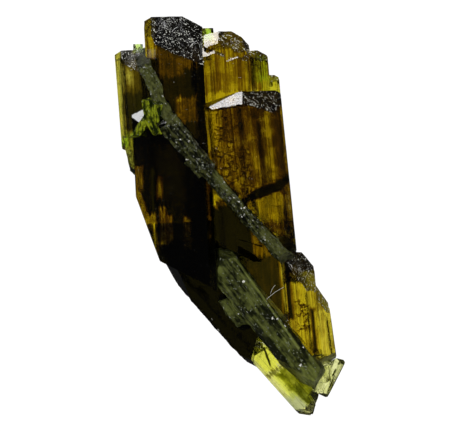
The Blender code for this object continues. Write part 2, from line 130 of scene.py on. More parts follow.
@dataclass(frozen=True)
class Relief:
    """The low relief of a kind of facet.

    spacing is the size of a mesh cell, and each wave is (length, height) of a layer of noise.
    dots and dashes are the shares of the cells where a single etch mark or a row of them lies.
    These cells are painted pale as glints.
    """

    spacing: float
    waves: tuple[tuple[float, float], ...]
    dots: float = 0.0
    dashes: float = 0.0
    longest: int = 7

    def marks(self, rows: int, columns: int, seed: int) -> Numbers:
        """The cells of a grid that are etch marks painted as glints: single ones, and rows that lie all ways.

        The cells of a row are its first cell plus k (cos turn, sin turn), for k from 0 to its
        length.

        Args:
            rows: Rows of cells.
            columns: Cells in a row.
            seed: The seed of the scatter.

        Returns:
            The numbers of the marked cells.
        """
        rng = np.random.default_rng(seed)
        marked = rng.random((rows, columns)) < self.dots
        count = int(self.dashes * rows * columns)
        turn = rng.uniform(0.0, math.pi, count)[:, None]
        step = np.arange(self.longest)[None, :]
        within = step < rng.integers(2, self.longest + 1, count)[:, None]
        row = (rng.uniform(0, rows, count)[:, None] + step * np.sin(turn)).astype(int)
        column = (rng.uniform(0, columns, count)[:, None] + step * np.cos(turn)).astype(int)
        within &= (row < rows) & (column >= 0) & (column < columns)
        marked[row[within], column[within]] = True
        return np.flatnonzero(marked)

    def height(self, x: Numbers, y: Numbers, seed: int) -> Numbers:
        """The relief's height over the plane: the sum of its layers of noise, each raised by half.

        Args:
            x: Places along the facet.
            y: Places across the facet.
            seed: The seed of the noise.

        Returns:
            One height for each place.
        """
        total = np.zeros_like(x)
        for layer, (wave, height) in enumerate(self.waves):
            total += height * (0.5 + lattice_noise(x / wave, y / wave, seed + 31 * layer))
        return total


RELIEFS = {
    # The etched facets' dots and dashes are cells with painted glints.
    Face.ETCHED: Relief(0.062, ((1.6, 0.05), (0.42, 0.018), (0.17, 0.008)), dots=0.03, dashes=0.011),
    Face.MIRROR: Relief(0.11, ((1.1, 0.02), (0.35, 0.012))),
    Face.BROKEN: Relief(0.13, ((1.3, 0.16), (0.4, 0.07))),
}


def lattice_noise(x: Numbers, y: Numbers, seed: int) -> Numbers:
    """Smooth noise: random values on a unit lattice, eased between its corners.

    Args:
        x: First coordinate, in lattice cells.
        y: Second coordinate, in lattice cells.
        seed: The seed of the lattice's values.

    Returns:
        Values from -1 to 1.
    """
    table = np.random.default_rng(seed).uniform(-1.0, 1.0, (LATTICE, LATTICE))
    column = np.floor(x).astype(int)
    row = np.floor(y).astype(int)
    right = x - column
    above = y - row
    right = right * right * (3.0 - 2.0 * right)
    above = above * above * (3.0 - 2.0 * above)
    low, high = (
        table[column % LATTICE, level] * (1 - right) + table[(column + 1) % LATTICE, level] * right
        for level in (row % LATTICE, (row + 1) % LATTICE)
    )
    return low * (1 - above) + high * above


def mesh_of(
    name: str,
    points: Numbers,
    quads: Numbers,
    rings: list[Numbers],
    face: Face = Face.SMOOTH,
    marks: Numbers | None = None,
) -> bpy.types.Mesh:
    """A closed mesh from its points, quads and the polygons of its ends, facing out.

    The faces are turned round where the volume that they enclose comes out negative. The mesh
    has an empty material slot for each kind of facet.

    Args:
        name: The mesh's name.
        points: Places in millimetres, in the drawing.
        quads: Rows of four point numbers.
        rings: Point numbers round each larger polygon.
        face: What its faces are like.
        marks: The numbers of the quads that are etch marks, painted pale as glints.

    Returns:
        The mesh, in metres and in the frame.
    """
    volume = 0.0
    for first, second, third in ((0, 1, 2), (0, 2, 3)):
        a, b, c = points[quads[:, first]], points[quads[:, second]], points[quads[:, third]]
        volume += np.einsum("ij,ij->i", a, np.cross(b, c)).sum()
    for ring in rings:
        loop = points[ring]
        hub = np.broadcast_to(loop[0], loop[2:].shape)
        volume += np.einsum("ij,ij->i", hub, np.cross(loop[1:-1], loop[2:])).sum()
    if volume < 0:
        quads = quads[:, ::-1]
        rings = [ring[::-1] for ring in rings]
    mesh = bpy.data.meshes.new(name)
    for _ in Face:
        mesh.materials.append(None)
    polygons = quads.tolist() + [ring.tolist() for ring in rings]
    mesh.from_pydata((points + DRAWING_SHIFT) * MM, [], polygons)
    kinds = np.full(len(mesh.polygons), face.value, np.int32)
    if marks is not None:
        kinds[marks] = Face.GLINT.value
    mesh.polygons.foreach_set("material_index", kinds)
    mesh.update()
    return mesh


@dataclass(frozen=True)
class Facet:
    """A flat face at a crystal's end: its normal, a point on it and what it is like."""

    normal: Point
    point: Point
    face: Face = Face.SMOOTH


@dataclass(frozen=True)
class Striae:
    """The growth lines along a prism: strips that stand in or out of each side.

    width is the mean width of a strip, height the most that it stands in or out, and tilt the
    most that it is turned, in degrees. ragged is how far the whole outline wanders, step the
    distance between the outlines that are drawn along the axis, and marks the share of the
    cells between them that are etch marks, painted pale as glints.
    """

    width: float = 0.34
    height: float = 0.05
    tilt: float = 3.0
    seed: int = 1
    ragged: float = 0.0
    step: float = 1.3
    marks: float = 0.0


@dataclass(frozen=True)
class Crystal:
    """A prism: a point on its axis, its lean, the sides round it and the facets at its ends.

    lean is the angle in degrees that the head leans to -X, and dip the angle that it leans up.
    sides are (angle, distance) pairs, with angle 0 to the right and 90 up.
    """

    at: Point
    lean: float
    sides: tuple[tuple[float, float], ...]
    ends: tuple[Facet, ...]
    dip: float = 0.0
    striae: Striae = Striae()

    def directions(self) -> tuple[Numbers, Numbers, Numbers]:
        """The prism's own directions in the drawing.

        Returns:
            The directions to its right, along its axis and up.
        """
        lean, dip = math.radians(self.lean), math.radians(self.dip)
        right = np.array((math.cos(lean), math.sin(lean), 0.0))
        level = np.array((-math.sin(lean), math.cos(lean), 0.0))
        axis = level * math.cos(dip) + np.array((0.0, 0.0, math.sin(dip)))
        return right, axis, np.cross(right, axis)

    def spans(self) -> list[tuple[float, float, float, float]]:
        """The sides that are left after all have cut each other.

        Each side's line is cut by every other: two lines at angles apart by turn meet where the
        place along the first is (other distance - distance cos turn) / sin turn.

        Returns:
            (angle in radians, distance, start, end) of each side, in order round the prism.
        """
        angles = np.radians([angle for angle, _ in self.sides])
        distances = np.array([distance for _, distance in self.sides])
        found = []
        for angle, distance in sorted(zip(angles, distances)):
            turn = angles - angle
            slope = np.sin(turn)
            crossing = np.abs(slope) > PARALLEL
            meet = (distances[crossing] - distance * np.cos(turn[crossing])) / slope[crossing]
            start = meet[slope[crossing] < 0].max()
            end = meet[slope[crossing] > 0].min()
            if end - start > LEAST_SIDE:
                found.append((angle, distance, start, end))
        return found

    def reach(self, across: Numbers, up: Numbers, facet: Facet) -> Numbers:
        """Where lines along the axis meet a facet's plane, as places along the axis.

        Args:
            across: Places of the lines to the right of the axis.
            up: Places of the lines above the axis.
            facet: The facet.

        Returns:
            The place along the axis for each line.
        """
        right, axis, above = self.directions()
        normal = np.array(facet.normal)
        lift = normal @ (np.array(facet.point) - np.array(self.at))
        return (lift - across * (normal @ right) - up * (normal @ above)) / (normal @ axis)

    def place(self, across: Numbers, up: Numbers, along: Numbers) -> Numbers:
        """Points in the drawing from places across, above and along the axis."""
        right, axis, above = self.directions()
        return np.array(self.at) + across[..., None] * right + up[..., None] * above + along[..., None] * axis

    def columns(self) -> tuple[Numbers, ...]:
        """The lines along the axis that the prism's sides are drawn with.

        Every side is parted into strips of random width. A strip has a line at each of its two
        edges, and a corner of the prism has a line of its own with no relief.

        Returns:
            The side's angle and distance, the place along the side, the strip's number, the
            distance from the strip's middle and the share of relief, one of each for every line.
        """
        rng = np.random.default_rng(self.striae.seed)
        parts = []
        strips = 0
        for angle, distance, start, end in self.spans():
            count = max(1, round((end - start) / self.striae.width))
            widths = rng.uniform(0.25, 1.75, count) ** 1.5
            bounds = start + (end - start) * np.concatenate(([0.0], np.cumsum(widths) / widths.sum()))
            left, right = bounds[:-1] + STRIP_EDGE, bounds[1:] - STRIP_EDGE
            places = np.stack((left, right), axis=1).ravel()
            numbers = np.repeat(strips + np.arange(count), 2)
            offsets = places - np.repeat((left + right) / 2, 2)
            shares = np.clip(np.minimum(places - start, end - places) / CORNER_FADE, 0.0, 1.0)
            parts.append(
                (
                    np.full(2 * count + 1, angle),
                    np.full(2 * count + 1, distance),
                    np.concatenate(([start], places)),
                    np.concatenate((numbers[:1], numbers)),
                    np.concatenate(([0.0], offsets)),
                    np.concatenate(([0.0], shares)),
                )
            )
            strips += count
        return tuple(np.concatenate(column) for column in zip(*parts))

    def body(self) -> bpy.types.Mesh:
        """The long striated prism, a little longer than its end facets leave.

        A line at place u on the side at angle a and distance d runs at
        (d + relief) normal(a) + u tangent(a). The relief is the strip's own height, which
        changes slowly along the axis, and its tilt times the distance from its middle.

        Returns:
            The closed mesh.
        """
        angle, distance, place, strip, offset, share = self.columns()
        rng = np.random.default_rng(self.striae.seed + 1000)
        strips = strip.max() + 1
        across = distance * np.cos(angle) - place * np.sin(angle)
        up = distance * np.sin(angle) + place * np.cos(angle)
        foot, top = self.extent(across, up)
        stations = max(3, round((top - foot) / self.striae.step))
        along = np.linspace(foot, top, stations)
        heights = self.striae.height * rng.uniform(-1.0, 1.0, strips)[None, :]
        drift = rng.uniform(-1.0, 1.0, (stations, strips)).cumsum(axis=0) * STRIP_DRIFT * self.striae.height
        tilts = np.tan(np.radians(self.striae.tilt)) * rng.uniform(-1.0, 1.0, strips)
        relief = share * ((heights + drift)[:, strip] + tilts[strip] * offset)
        depth = distance + relief
        across = depth * np.cos(angle) - place * np.sin(angle)
        up = depth * np.sin(angle) + place * np.cos(angle)
        if self.striae.ragged:
            across, up = self.wandered(across, up, along)
        points = self.place(across, up, np.broadcast_to(along[:, None], across.shape)).reshape(-1, 3)
        lines = len(angle)
        grid = np.arange(stations * lines).reshape(stations, lines)
        turned = np.roll(grid, -1, axis=1)
        quads = np.stack((grid[:-1], turned[:-1], turned[1:], grid[1:]), axis=-1).reshape(-1, 4)
        marks = np.flatnonzero(rng.random(len(quads)) < self.striae.marks)
        return mesh_of("prism", points, quads, [grid[0][::-1], grid[-1]], marks=marks)

    def extent(self, across: Numbers, up: Numbers) -> tuple[float, float]:
        """How far the prism has to run so that its facets cut off both ends.

        The outline is drawn in to the axis in steps, and each facet's plane is met at every
        point of them.

        Args:
            across: Places of the outline to the right of the axis.
            up: Places of the outline above the axis.

        Returns:
            The places of its foot and its top along the axis.
        """
        inward = np.linspace(0.0, 1.0, 12)[:, None]
        axis = self.directions()[1]
        tops, feet = [], []
        for facet in self.ends:
            ends = tops if np.dot(facet.normal, axis) > 0 else feet
            ends.append(self.reach(inward * across, inward * up, facet))
        return np.max(feet, axis=0).min() - OVERRUN, np.min(tops, axis=0).max() + OVERRUN

    def wandered(self, across: Numbers, up: Numbers, along: Numbers) -> tuple[Numbers, Numbers]:
        """The outlines stretched and moved a little by noise, as on a broken or worn crystal.

        A point at (x, z) goes to x (1 + r n1 / half width) + r n2 and z (1 + r n3 / half height),
        where r is the raggedness, n1 is noise over height and length, n2 noise over length and
        n3 noise over width and length. This never folds the surface.

        Args:
            across: Places to the right of the axis, one row for each outline.
            up: Places above the axis.
            along: The outlines' places along the axis.

        Returns:
            The new places across and up.
        """
        ragged, seed = self.striae.ragged, self.striae.seed
        length = np.broadcast_to(along[:, None], across.shape)
        side = lattice_noise(up / 0.5, length / 0.45, seed)
        side += 0.5 * lattice_noise(up / 0.2, length / 0.2, seed + 1)
        front = lattice_noise(across / 0.5, length / 0.45, seed + 2)
        front += 0.5 * lattice_noise(across / 0.2, length / 0.2, seed + 3)
        drift = lattice_noise(length / 1.1, 0.0 * length, seed + 4)
        wide = across * (1.0 + 0.6 * ragged * side / np.abs(across).max()) + 0.6 * ragged * drift
        high = up * (1.0 + 0.6 * ragged * front / np.abs(up).max())
        return wide, high

    def beyond(self, facet: Facet, seed: int) -> bpy.types.Mesh:
        """The solid that a facet cuts away: everything past its plane, along the axis.

        Over a grid of the cross section, uneven where the facet has relief, the near surface
        lies on the plane, raised by that relief, and the far one is a flat end.

        Args:
            facet: The facet.
            seed: The seed of its relief.

        Returns:
            The closed mesh.
        """
        angle, distance, start, _ = (np.array(column) for column in zip(*self.spans()))
        corner_across = distance * np.cos(angle) - start * np.sin(angle)
        corner_up = distance * np.sin(angle) + start * np.cos(angle)
        low = np.array((corner_across.min(), corner_up.min())) - OVERRUN
        high = np.array((corner_across.max(), corner_up.max())) + OVERRUN
        normal = np.array(facet.normal) / np.linalg.norm(facet.normal)
        right, axis, above = self.directions()
        relief = RELIEFS.get(facet.face)
        columns, rows = 2, 2
        if relief:
            slope_across = math.hypot(1.0, (normal @ right) / (normal @ axis))
            slope_up = math.hypot(1.0, (normal @ above) / (normal @ axis))
            columns += int((high[0] - low[0]) * slope_across / relief.spacing)
            rows += int((high[1] - low[1]) * slope_up / relief.spacing)
        across, up = np.meshgrid(np.linspace(low[0], high[0], columns), np.linspace(low[1], high[1], rows))
        marks = None
        if relief:
            rng = np.random.default_rng(seed)
            cell = (high - low) / (columns - 1, rows - 1)
            inner = (slice(1, -1), slice(1, -1))
            across[inner] += cell[0] * rng.uniform(-SCATTER, SCATTER, (rows - 2, columns - 2))
            up[inner] += cell[1] * rng.uniform(-SCATTER, SCATTER, (rows - 2, columns - 2))
            marks = relief.marks(rows - 1, columns - 1, seed)
        along = self.reach(across, up, facet)
        if relief:
            side = np.cross(normal, axis)
            side /= np.linalg.norm(side)
            flat = self.place(across, up, along)
            rise = relief.height(flat @ side, flat @ np.cross(side, normal), seed)
            along = along + rise / (normal @ axis)
        near = self.place(across, up, along).reshape(-1, 3)
        far_along = math.copysign(FAR_END, normal @ axis)
        grid = np.arange(rows * columns).reshape(rows, columns)
        rim = np.concatenate((grid[0, :-1], grid[:-1, -1], grid[-1, :0:-1], grid[:0:-1, 0]))
        far = self.place(across.ravel()[rim], up.ravel()[rim], np.full(len(rim), far_along))
        ring = len(near) + np.arange(len(rim))
        quads = np.stack((grid[:-1, :-1], grid[:-1, 1:], grid[1:, 1:], grid[1:, :-1]), axis=-1)
        walls = np.stack((rim, ring, np.roll(ring, -1), np.roll(rim, -1)), axis=-1)
        quads = np.concatenate((quads.reshape(-1, 4), walls))
        return mesh_of("beyond", np.concatenate((near, far)), quads, [ring[::-1]], facet.face, marks)

    def mesh(self) -> bpy.types.Mesh:
        """The finished crystal: its prism less all that lies past its facets."""
        cuts = [self.beyond(facet, self.striae.seed + 7 * number) for number, facet in enumerate(self.ends)]
        return combined(self.body(), [("DIFFERENCE", cut) for cut in cuts])


def combined(first: bpy.types.Mesh, changes: list[tuple[str, bpy.types.Mesh]]) -> bpy.types.Mesh:
    """A mesh joined with others, or less others, one after another.

    Args:
        first: The mesh to start from.
        changes: (operation, mesh) pairs.

    Returns:
        The new mesh.
    """
    target = bpy.data.objects.new("target", first)
    bpy.context.scene.collection.objects.link(target)
    operands = []
    for operation, mesh in changes:
        operand = bpy.data.objects.new("operand", mesh)
        bpy.context.scene.collection.objects.link(operand)
        change = target.modifiers.new("change", "BOOLEAN")
        change.operation = operation
        change.solver = "MANIFOLD"
        change.object = operand
        operands.append(operand)
    graph = bpy.context.evaluated_depsgraph_get()
    result = bpy.data.meshes.new_from_object(target.evaluated_get(graph))
    for item in [target, *operands]:
        bpy.data.objects.remove(item, do_unlink=True)
    return result


def head(
    etched: tuple[float, float],
    front: float,
    crest: tuple[float, float],
    mirror: tuple[float, float] | None = None,
    right_from: tuple[float, float] | None = None,
    flank: Point | None = None,
    face: Face = Face.ETCHED,
) -> tuple[Facet, ...]:
    """The facets of an upper crystal's head.

    Args:
        etched: Where the etched facet crosses the front.
        front: The height of the front.
        crest: Where the etched facet meets the rear left one.
        mirror: Where the mirror bright facet crosses the front, if it has one.
        right_from: Where the rear right facet starts, if it has one.
        flank: A point that the left facet passes through, if it has one.
        face: What its rough facets are like.

    Returns:
        The facets.
    """
    start = (etched[0], etched[1], front)

    def on_etched(x: float, y: float) -> Point:
        """The point of the etched facet's plane over (x, y)."""
        fall = (ETCHED[0] * (x - start[0]) + ETCHED[1] * (y - start[1])) / ETCHED[2]
        return (x, y, front - fall)

    facets = [Facet(ETCHED, start, face), Facet(REAR_LEFT, on_etched(*crest), face)]
    if mirror:
        facets.append(Facet(MIRROR, (mirror[0], mirror[1], front), Face.MIRROR))
    if right_from:
        facets.append(Facet(REAR_RIGHT, on_etched(*right_from), face))
    if flank:
        facets.append(Facet(FLANK, flank))
    return tuple(facets)


def broken(direction: Point, point: Point, seed: int, count: int = 3) -> tuple[Facet, ...]:
    """The rough breaks that end a crystal: facets spread round one direction.

    Args:
        direction: The direction that the end faces.
        point: A point on the end.
        seed: The seed of the spread.
        count: How many breaks there are.

    Returns:
        The facets.
    """
    rng = np.random.default_rng(seed)
    outward = np.array(direction) / np.linalg.norm(direction)
    facets = []
    for _ in range(count):
        normal = outward + rng.uniform(-0.4, 0.4, 3)
        inset = np.array(point) - outward * rng.uniform(0.0, 0.4)
        facets.append(Facet(tuple(normal), tuple(inset), Face.BROKEN))
    return tuple(facets)


def drop_crumbs(mesh: bpy.types.Mesh, least: float = 0.02) -> None:
    """Remove the loose bits that cutting left, each under a share of the mesh's points.

    Every point takes the lowest number among its neighbours until nothing changes, so each
    loose body ends with one number.

    Args:
        mesh: The mesh to clean.
        least: The smallest share of the points that a body keeps its place with.
    """
    count = len(mesh.vertices)
    edges = np.empty(2 * len(mesh.edges), np.int32)
    mesh.edges.foreach_get("vertices", edges)
    edges = edges.reshape(-1, 2)
    label = np.arange(count)
    while True:
        before = label.copy()
        lowest = np.minimum(label[edges[:, 0]], label[edges[:, 1]])
        np.minimum.at(label, edges[:, 0], lowest)
        np.minimum.at(label, edges[:, 1], lowest)
        label = label[label]
        if (label == before).all():
            break
    bodies, sizes = np.unique(label, return_counts=True)
    small = np.isin(label, bodies[sizes < least * count])
    if small.any():
        keep_faces(mesh, ~small)


def keep_faces(mesh: bpy.types.Mesh, kept: Numbers) -> None:
    """Rewrite a mesh with only the faces on the points that are kept.

    Args:
        mesh: The mesh to rewrite.
        kept: Whether each of its points is kept.
    """
    shape = bmesh.new()
    shape.from_mesh(mesh)
    shape.verts.ensure_lookup_table()
    gone = [shape.verts[number] for number in np.flatnonzero(~kept)]
    bmesh.ops.delete(shape, geom=gone, context="VERTS")
    shape.to_mesh(mesh)
    shape.free()


def shrunk(mesh: bpy.types.Mesh, depth: float) -> None:
    """Draw a mesh in along its normals, so that grown contacts keep a hairline.

    Args:
        mesh: The mesh to draw in.
        depth: How far each point goes, in millimetres.
    """
    count = len(mesh.vertices)
    points = np.empty(3 * count, np.float32)
    normals = np.empty(3 * count, np.float32)
    mesh.vertices.foreach_get("co", points)
    mesh.vertex_normals.foreach_get("vector", normals)
    mesh.vertices.foreach_set("co", points - normals * (depth * MM))
    mesh.update()


Socket = bpy.types.NodeSocket
Colour = tuple[float, float, float]


class Graph:
    """A node tree that is written in a few words."""

    def __init__(self, tree: bpy.types.NodeTree) -> None:
        """Start with an empty tree."""
        self.tree = tree
        self.tree.nodes.clear()

    def fill(self, socket: Socket, value: object) -> None:
        """Give an input its value, or link it to another node's output.

        Args:
            socket: The input.
            value: A number, a colour, a vector or a socket.
        """
        if isinstance(value, bpy.types.NodeSocket):
            self.tree.links.new(value, socket)
        elif socket.type == "RGBA":
            socket.default_value = (*value, 1.0)
        else:
            socket.default_value = value

    def add(self, kind: str, inputs: dict | None = None, **settings: object) -> bpy.types.Node:
        """Add a node.

        Args:
            kind: The node's type, without its leading ShaderNode.
            inputs: Values or sockets for its inputs, by name or number.
            settings: Values for its properties.

        Returns:
            The node.
        """
        node = self.tree.nodes.new(f"ShaderNode{kind}")
        for key, value in settings.items():
            setattr(node, key, value)
        for key, value in (inputs or {}).items():
            self.fill(node.inputs[key], value)
        return node

    def maths(self, operation: str, *values: float | Socket, clamp: bool = False) -> Socket:
        """The result of a Math node."""
        return self.add("Math", dict(enumerate(values)), operation=operation, use_clamp=clamp).outputs[0]

    def ramp(self, value: Socket, low: float, high: float, to: tuple[float, float] = (0.0, 1.0)) -> Socket:
        """A value moved from the range low to high into another, eased and clamped."""
        inputs = {"Value": value, "From Min": low, "From Max": high, "To Min": to[0], "To Max": to[1]}
        return self.add("MapRange", inputs, interpolation_type="SMOOTHSTEP").outputs["Result"]

    def blend(self, share: float | Socket, first: object, second: object, how: str = "MIX") -> Socket:
        """Two colours mixed by share, where how is the blend type."""
        settings = {"data_type": "RGBA", "blend_type": how, "clamp_result": False}
        return self.add("Mix", {0: share, 6: first, 7: second}, **settings).outputs[2]

    def between(self, share: float | Socket, first: float | Socket, second: float | Socket) -> Socket:
        """Two values mixed by share."""
        return self.add("Mix", {0: share, 2: first, 3: second}, data_type="FLOAT").outputs[0]

    def use(self, group: bpy.types.NodeTree, inputs: dict) -> dict[str, Socket]:
        """Place a shared group with its own values, and give its outputs by name."""
        node = self.add("Group", inputs, node_tree=group)
        return {socket.name: socket for socket in node.outputs}

    def noise(self, place: Socket, scale: float, detail: float, roughness: float = 0.5) -> Socket:
        """The value of a Noise Texture, from 0 to 1."""
        inputs = {"Vector": place, "Scale": scale, "Detail": detail, "Roughness": roughness}
        return self.add("TexNoise", inputs).outputs[0]

    def vector(self, operation: str, first: Socket, second: Socket | Point) -> Socket:
        """The result of a Vector Math node."""
        return self.add("VectorMath", {0: first, 1: second}, operation=operation).outputs[0]

    def turned(self, place: Socket, angle: float) -> Socket:
        """A place turned round Z."""
        return self.add("VectorRotate", {"Vector": place, "Angle": angle}, rotation_type="Z_AXIS").outputs[0]

    def parts(self, place: Socket) -> tuple[Socket, ...]:
        """The x, y and z of a place."""
        return tuple(self.add("SeparateXYZ", {0: place}).outputs)

    def joined(self, x: Socket, y: Socket, z: Socket) -> Socket:
        """The place that has this x, y and z."""
        return self.add("CombineXYZ", {0: x, 1: y, 2: z}).outputs[0]

    def bump(self, height: Socket) -> Socket:
        """The normal of a surface with this height, in steps of the skin's depth."""
        return self.add("Bump", {"Strength": 1.0, "Distance": SKIN_DEPTH * MM, "Height": height}).outputs[0]

    def show(self, shader: bpy.types.Node) -> bpy.types.Node:
        """Put a surface on the material's output, and give that."""
        return self.add("OutputMaterial", {"Surface": shader.outputs[0]})


class Group(Graph):
    """A shader group that several finishes share. All that it gives are values."""

    vectors = ("Vector", "Centre")

    def __init__(self, name: str, *takes: str) -> None:
        """Start a group.

        Args:
            name: The group's name.
            takes: The names of its inputs, which are numbers apart from those in vectors.
        """
        super().__init__(bpy.data.node_groups.new(name, "ShaderNodeTree"))
        for key in takes:
            kind = "NodeSocketVector" if key in self.vectors else "NodeSocketFloat"
            self.tree.interface.new_socket(key, in_out="INPUT", socket_type=kind)
        entry = self.tree.nodes.new("NodeGroupInput")
        self.takes = {socket.name: socket for socket in entry.outputs if socket.name}

    def give(self, **values: Socket) -> bpy.types.NodeTree:
        """Add an output for each value.

        Args:
            values: What the group gives, by name.

        Returns:
            The finished group.
        """
        for key in values:
            self.tree.interface.new_socket(key, in_out="OUTPUT", socket_type="NodeSocketFloat")
        leave = self.tree.nodes.new("NodeGroupOutput")
        for key, value in values.items():
            self.tree.links.new(value, leave.inputs[key])
        return self.tree


def new_material(name: str) -> tuple[bpy.types.Material, Graph]:
    """A material with an empty node tree.

    Args:
        name: The material's name.

    Returns:
        The material and its graph.
    """
    surface = bpy.data.materials.new(name)
    surface.use_nodes = True
    return surface, Graph(surface.node_tree)


class Shared:
    """The shader groups that several finishes use."""

    def __init__(self) -> None:
        """Build each group once."""
        self.streaks = self.make_streaks()
        self.patch = self.make_patch()
        self.cracks = self.make_cracks()
        self.specks = self.make_specks()
        self.skin = self.make_skin(self.specks)
        # The etch marks' material: painted glints from grey to white.
        self.marks = PaintedGlintMarks().material()

    @staticmethod
    def make_streaks() -> bpy.types.NodeTree:
        """Lengthwise streaks: noise that is drawn out along Y.

        Returns:
            The group, whose Streak goes from 0 to 1.
        """
        group = Group("streaks", "Vector", "Width", "Length")
        x, y, z = group.parts(group.takes["Vector"])
        across = group.maths("DIVIDE", x, group.takes["Width"])
        along = group.maths("DIVIDE", y, group.takes["Length"])
        deep = group.maths("DIVIDE", z, group.takes["Width"])
        noise = group.noise(group.joined(across, along, deep), 1.0, 3.0, roughness=0.6)
        return group.give(Streak=group.ramp(noise, 0.33, 0.67))

    @staticmethod
    def make_patch() -> bpy.types.NodeTree:
        """A box with a ragged edge, broken up in columns along its length.

        Returns:
            The group, whose Mask is 1 inside the box and 0 outside.
        """
        group = Group("patch", "Vector", "Centre", "Turn", "Across", "Along", "Soft", "Ragged")
        takes = group.takes
        turn = {"Vector": takes["Vector"], "Center": takes["Centre"], "Angle": takes["Turn"]}
        rotated = group.add("VectorRotate", turn, rotation_type="Z_AXIS").outputs[0]
        across, along, _ = group.parts(group.vector("SUBTRACT", rotated, takes["Centre"]))
        wide = group.maths("MULTIPLY", across, 3.2)
        long = group.maths("MULTIPLY", along, 0.35)
        noise = group.noise(group.joined(wide, long, takes["Along"]), 1.0, 4.0, roughness=0.65)
        shift = group.maths("MULTIPLY", group.maths("SUBTRACT", noise, 0.5), takes["Ragged"])
        inside_along = group.maths("SUBTRACT", takes["Along"], group.maths("ABSOLUTE", along))
        inside_along = group.maths("ADD", inside_along, group.maths("MULTIPLY", shift, 4.0))
        inside_across = group.maths("SUBTRACT", takes["Across"], group.maths("ABSOLUTE", across))
        inside_across = group.maths("ADD", inside_across, group.maths("MULTIPLY", shift, 0.7))
        least = group.maths("MINIMUM", inside_along, inside_across)
        depth = group.maths("DIVIDE", least, takes["Soft"])
        return group.give(Mask=group.maths("ADD", depth, 0.5, clamp=True))

    @staticmethod
    def make_cracks() -> bpy.types.NodeTree:
        """Fine cracks: the edges of warped cells, with gaps in them.

        Returns:
            The group, whose Crack is 1 on a crack, and whose Veil has a value for each cell.
        """
        group = Group("cracks", "Vector", "Size", "Width")
        takes = group.takes
        warp = {"Vector": takes["Vector"], "Scale": 0.9, "Detail": 5.0, "Roughness": 0.65}
        moved = group.vector("MULTIPLY", group.add("TexNoise", warp).outputs[1], (2.2, 2.2, 2.2))
        place = group.vector("ADD", takes["Vector"], moved)
        cells = {"Vector": place, "Scale": group.maths("DIVIDE", 1.0, takes["Size"])}
        edge = group.add("TexVoronoi", cells, feature="DISTANCE_TO_EDGE").outputs["Distance"]
        crack = group.maths("SUBTRACT", 1.0, group.maths("DIVIDE", edge, takes["Width"]), clamp=True)
        gaps = group.ramp(group.noise(takes["Vector"], 1.6, 2.0), 0.36, 0.48)
        chance = group.add("TexVoronoi", cells, feature="F1").outputs["Color"]
        veil = group.add("SeparateColor", {0: chance}).outputs[0]
        return group.give(Crack=group.maths("MULTIPLY", crack, gaps), Veil=veil)

    @staticmethod
    def make_specks() -> bpy.types.NodeTree:
        """Small pale specks: the middles of a share of small cells.

        Returns:
            The group, whose Speck is 1 on a speck.
        """
        group = Group("specks", "Vector", "Size", "Share", "Stretch")
        takes = group.takes
        x, y, z = group.parts(takes["Vector"])
        place = group.joined(x, group.maths("DIVIDE", y, takes["Stretch"]), z)
        scale = group.maths("DIVIDE", 1.0, takes["Size"])
        cells = group.add("TexVoronoi", {"Vector": place, "Scale": scale}, feature="F1").outputs
        chance = group.add("SeparateColor", {0: cells["Color"]}).outputs[0]
        chosen = group.maths("LESS_THAN", chance, takes["Share"])
        dot = group.ramp(cells["Distance"], 0.42, 0.18)
        return group.give(Speck=group.maths("MULTIPLY", chosen, dot))

    @staticmethod
    def make_skin(specks: bpy.types.NodeTree) -> bpy.types.NodeTree:
        """An etched skin: fine grain, small pits and short dashes that lie three ways.

        Args:
            specks: The group of the specks, which the pits and dashes are made from.

        Returns:
            The group, with the skin's Height and its Pit alone.
        """
        group = Group("skin", "Vector", "Grain", "Pits", "Size")
        takes = group.takes
        fine = group.noise(takes["Vector"], 5.0, 4.0, roughness=0.65)
        dots = {"Vector": takes["Vector"], "Size": takes["Size"], "Share": takes["Pits"], "Stretch": 1.0}
        pit = group.use(specks, dots)["Speck"]
        size = group.maths("MULTIPLY", takes["Size"], 0.75)
        share = group.maths("MULTIPLY", takes["Pits"], 0.22)
        for angle in (0.6, 1.7, 2.7):
            place = group.turned(takes["Vector"], angle)
            dash = group.use(specks, {"Vector": place, "Size": size, "Share": share, "Stretch": 4.5})["Speck"]
            pit = group.maths("MAXIMUM", pit, dash)
        height = group.maths("ADD", group.maths("MULTIPLY", fine, takes["Grain"]), pit)
        return group.give(Height=height, Pit=pit)


@dataclass(frozen=True)
class Patch:
    """A lighter or darker place in a crystal, in the drawing.

    value is how much light it lets through, from 0 to 1. half is its half size across and
    along the crystal, lean turns it where it doesn't follow the crystal, soft is the width of
    its edge and ragged how far its ends break up. A tint colours the light there.
    """

    centre: tuple[float, float]
    half: tuple[float, float]
    value: float
    lean: float | None = None
    soft: float = 0.35
    ragged: float = 0.5
    tint: Colour | None = None

    def mask(self, graph: Graph, shared: Shared, place: Socket, lean: float) -> Socket:
        """The patch's mask.

        Args:
            graph: The material's graph.
            shared: The shader groups.
            place: The place in the drawing.
            lean: The crystal's own lean.

        Returns:
            1 inside the patch and 0 outside.
        """
        turn = lean if self.lean is None else self.lean
        inputs = {
            "Vector": place,
            "Centre": (*self.centre, 0.0),
            "Turn": -math.radians(turn),
            "Across": self.half[0],
            "Along": self.half[1],
            "Soft": self.soft,
            "Ragged": self.ragged,
        }
        return graph.use(shared.patch, inputs)["Mask"]


def drawing_place(graph: Graph) -> Socket:
    """The surface's own place in the drawing, in millimetres.

    Args:
        graph: The material's graph.

    Returns:
        The place.
    """
    own = graph.add("TexCoord").outputs["Object"]
    inputs = {"Vector": own, "Location": tuple(-DRAWING_SHIFT), "Scale": (1 / MM,) * 3}
    return graph.add("Mapping", inputs).outputs[0]


def along_axis(graph: Graph, place: Socket, lean: float) -> Socket:
    """A place turned so that Y runs along a crystal that leans."""
    return graph.turned(place, -math.radians(lean))


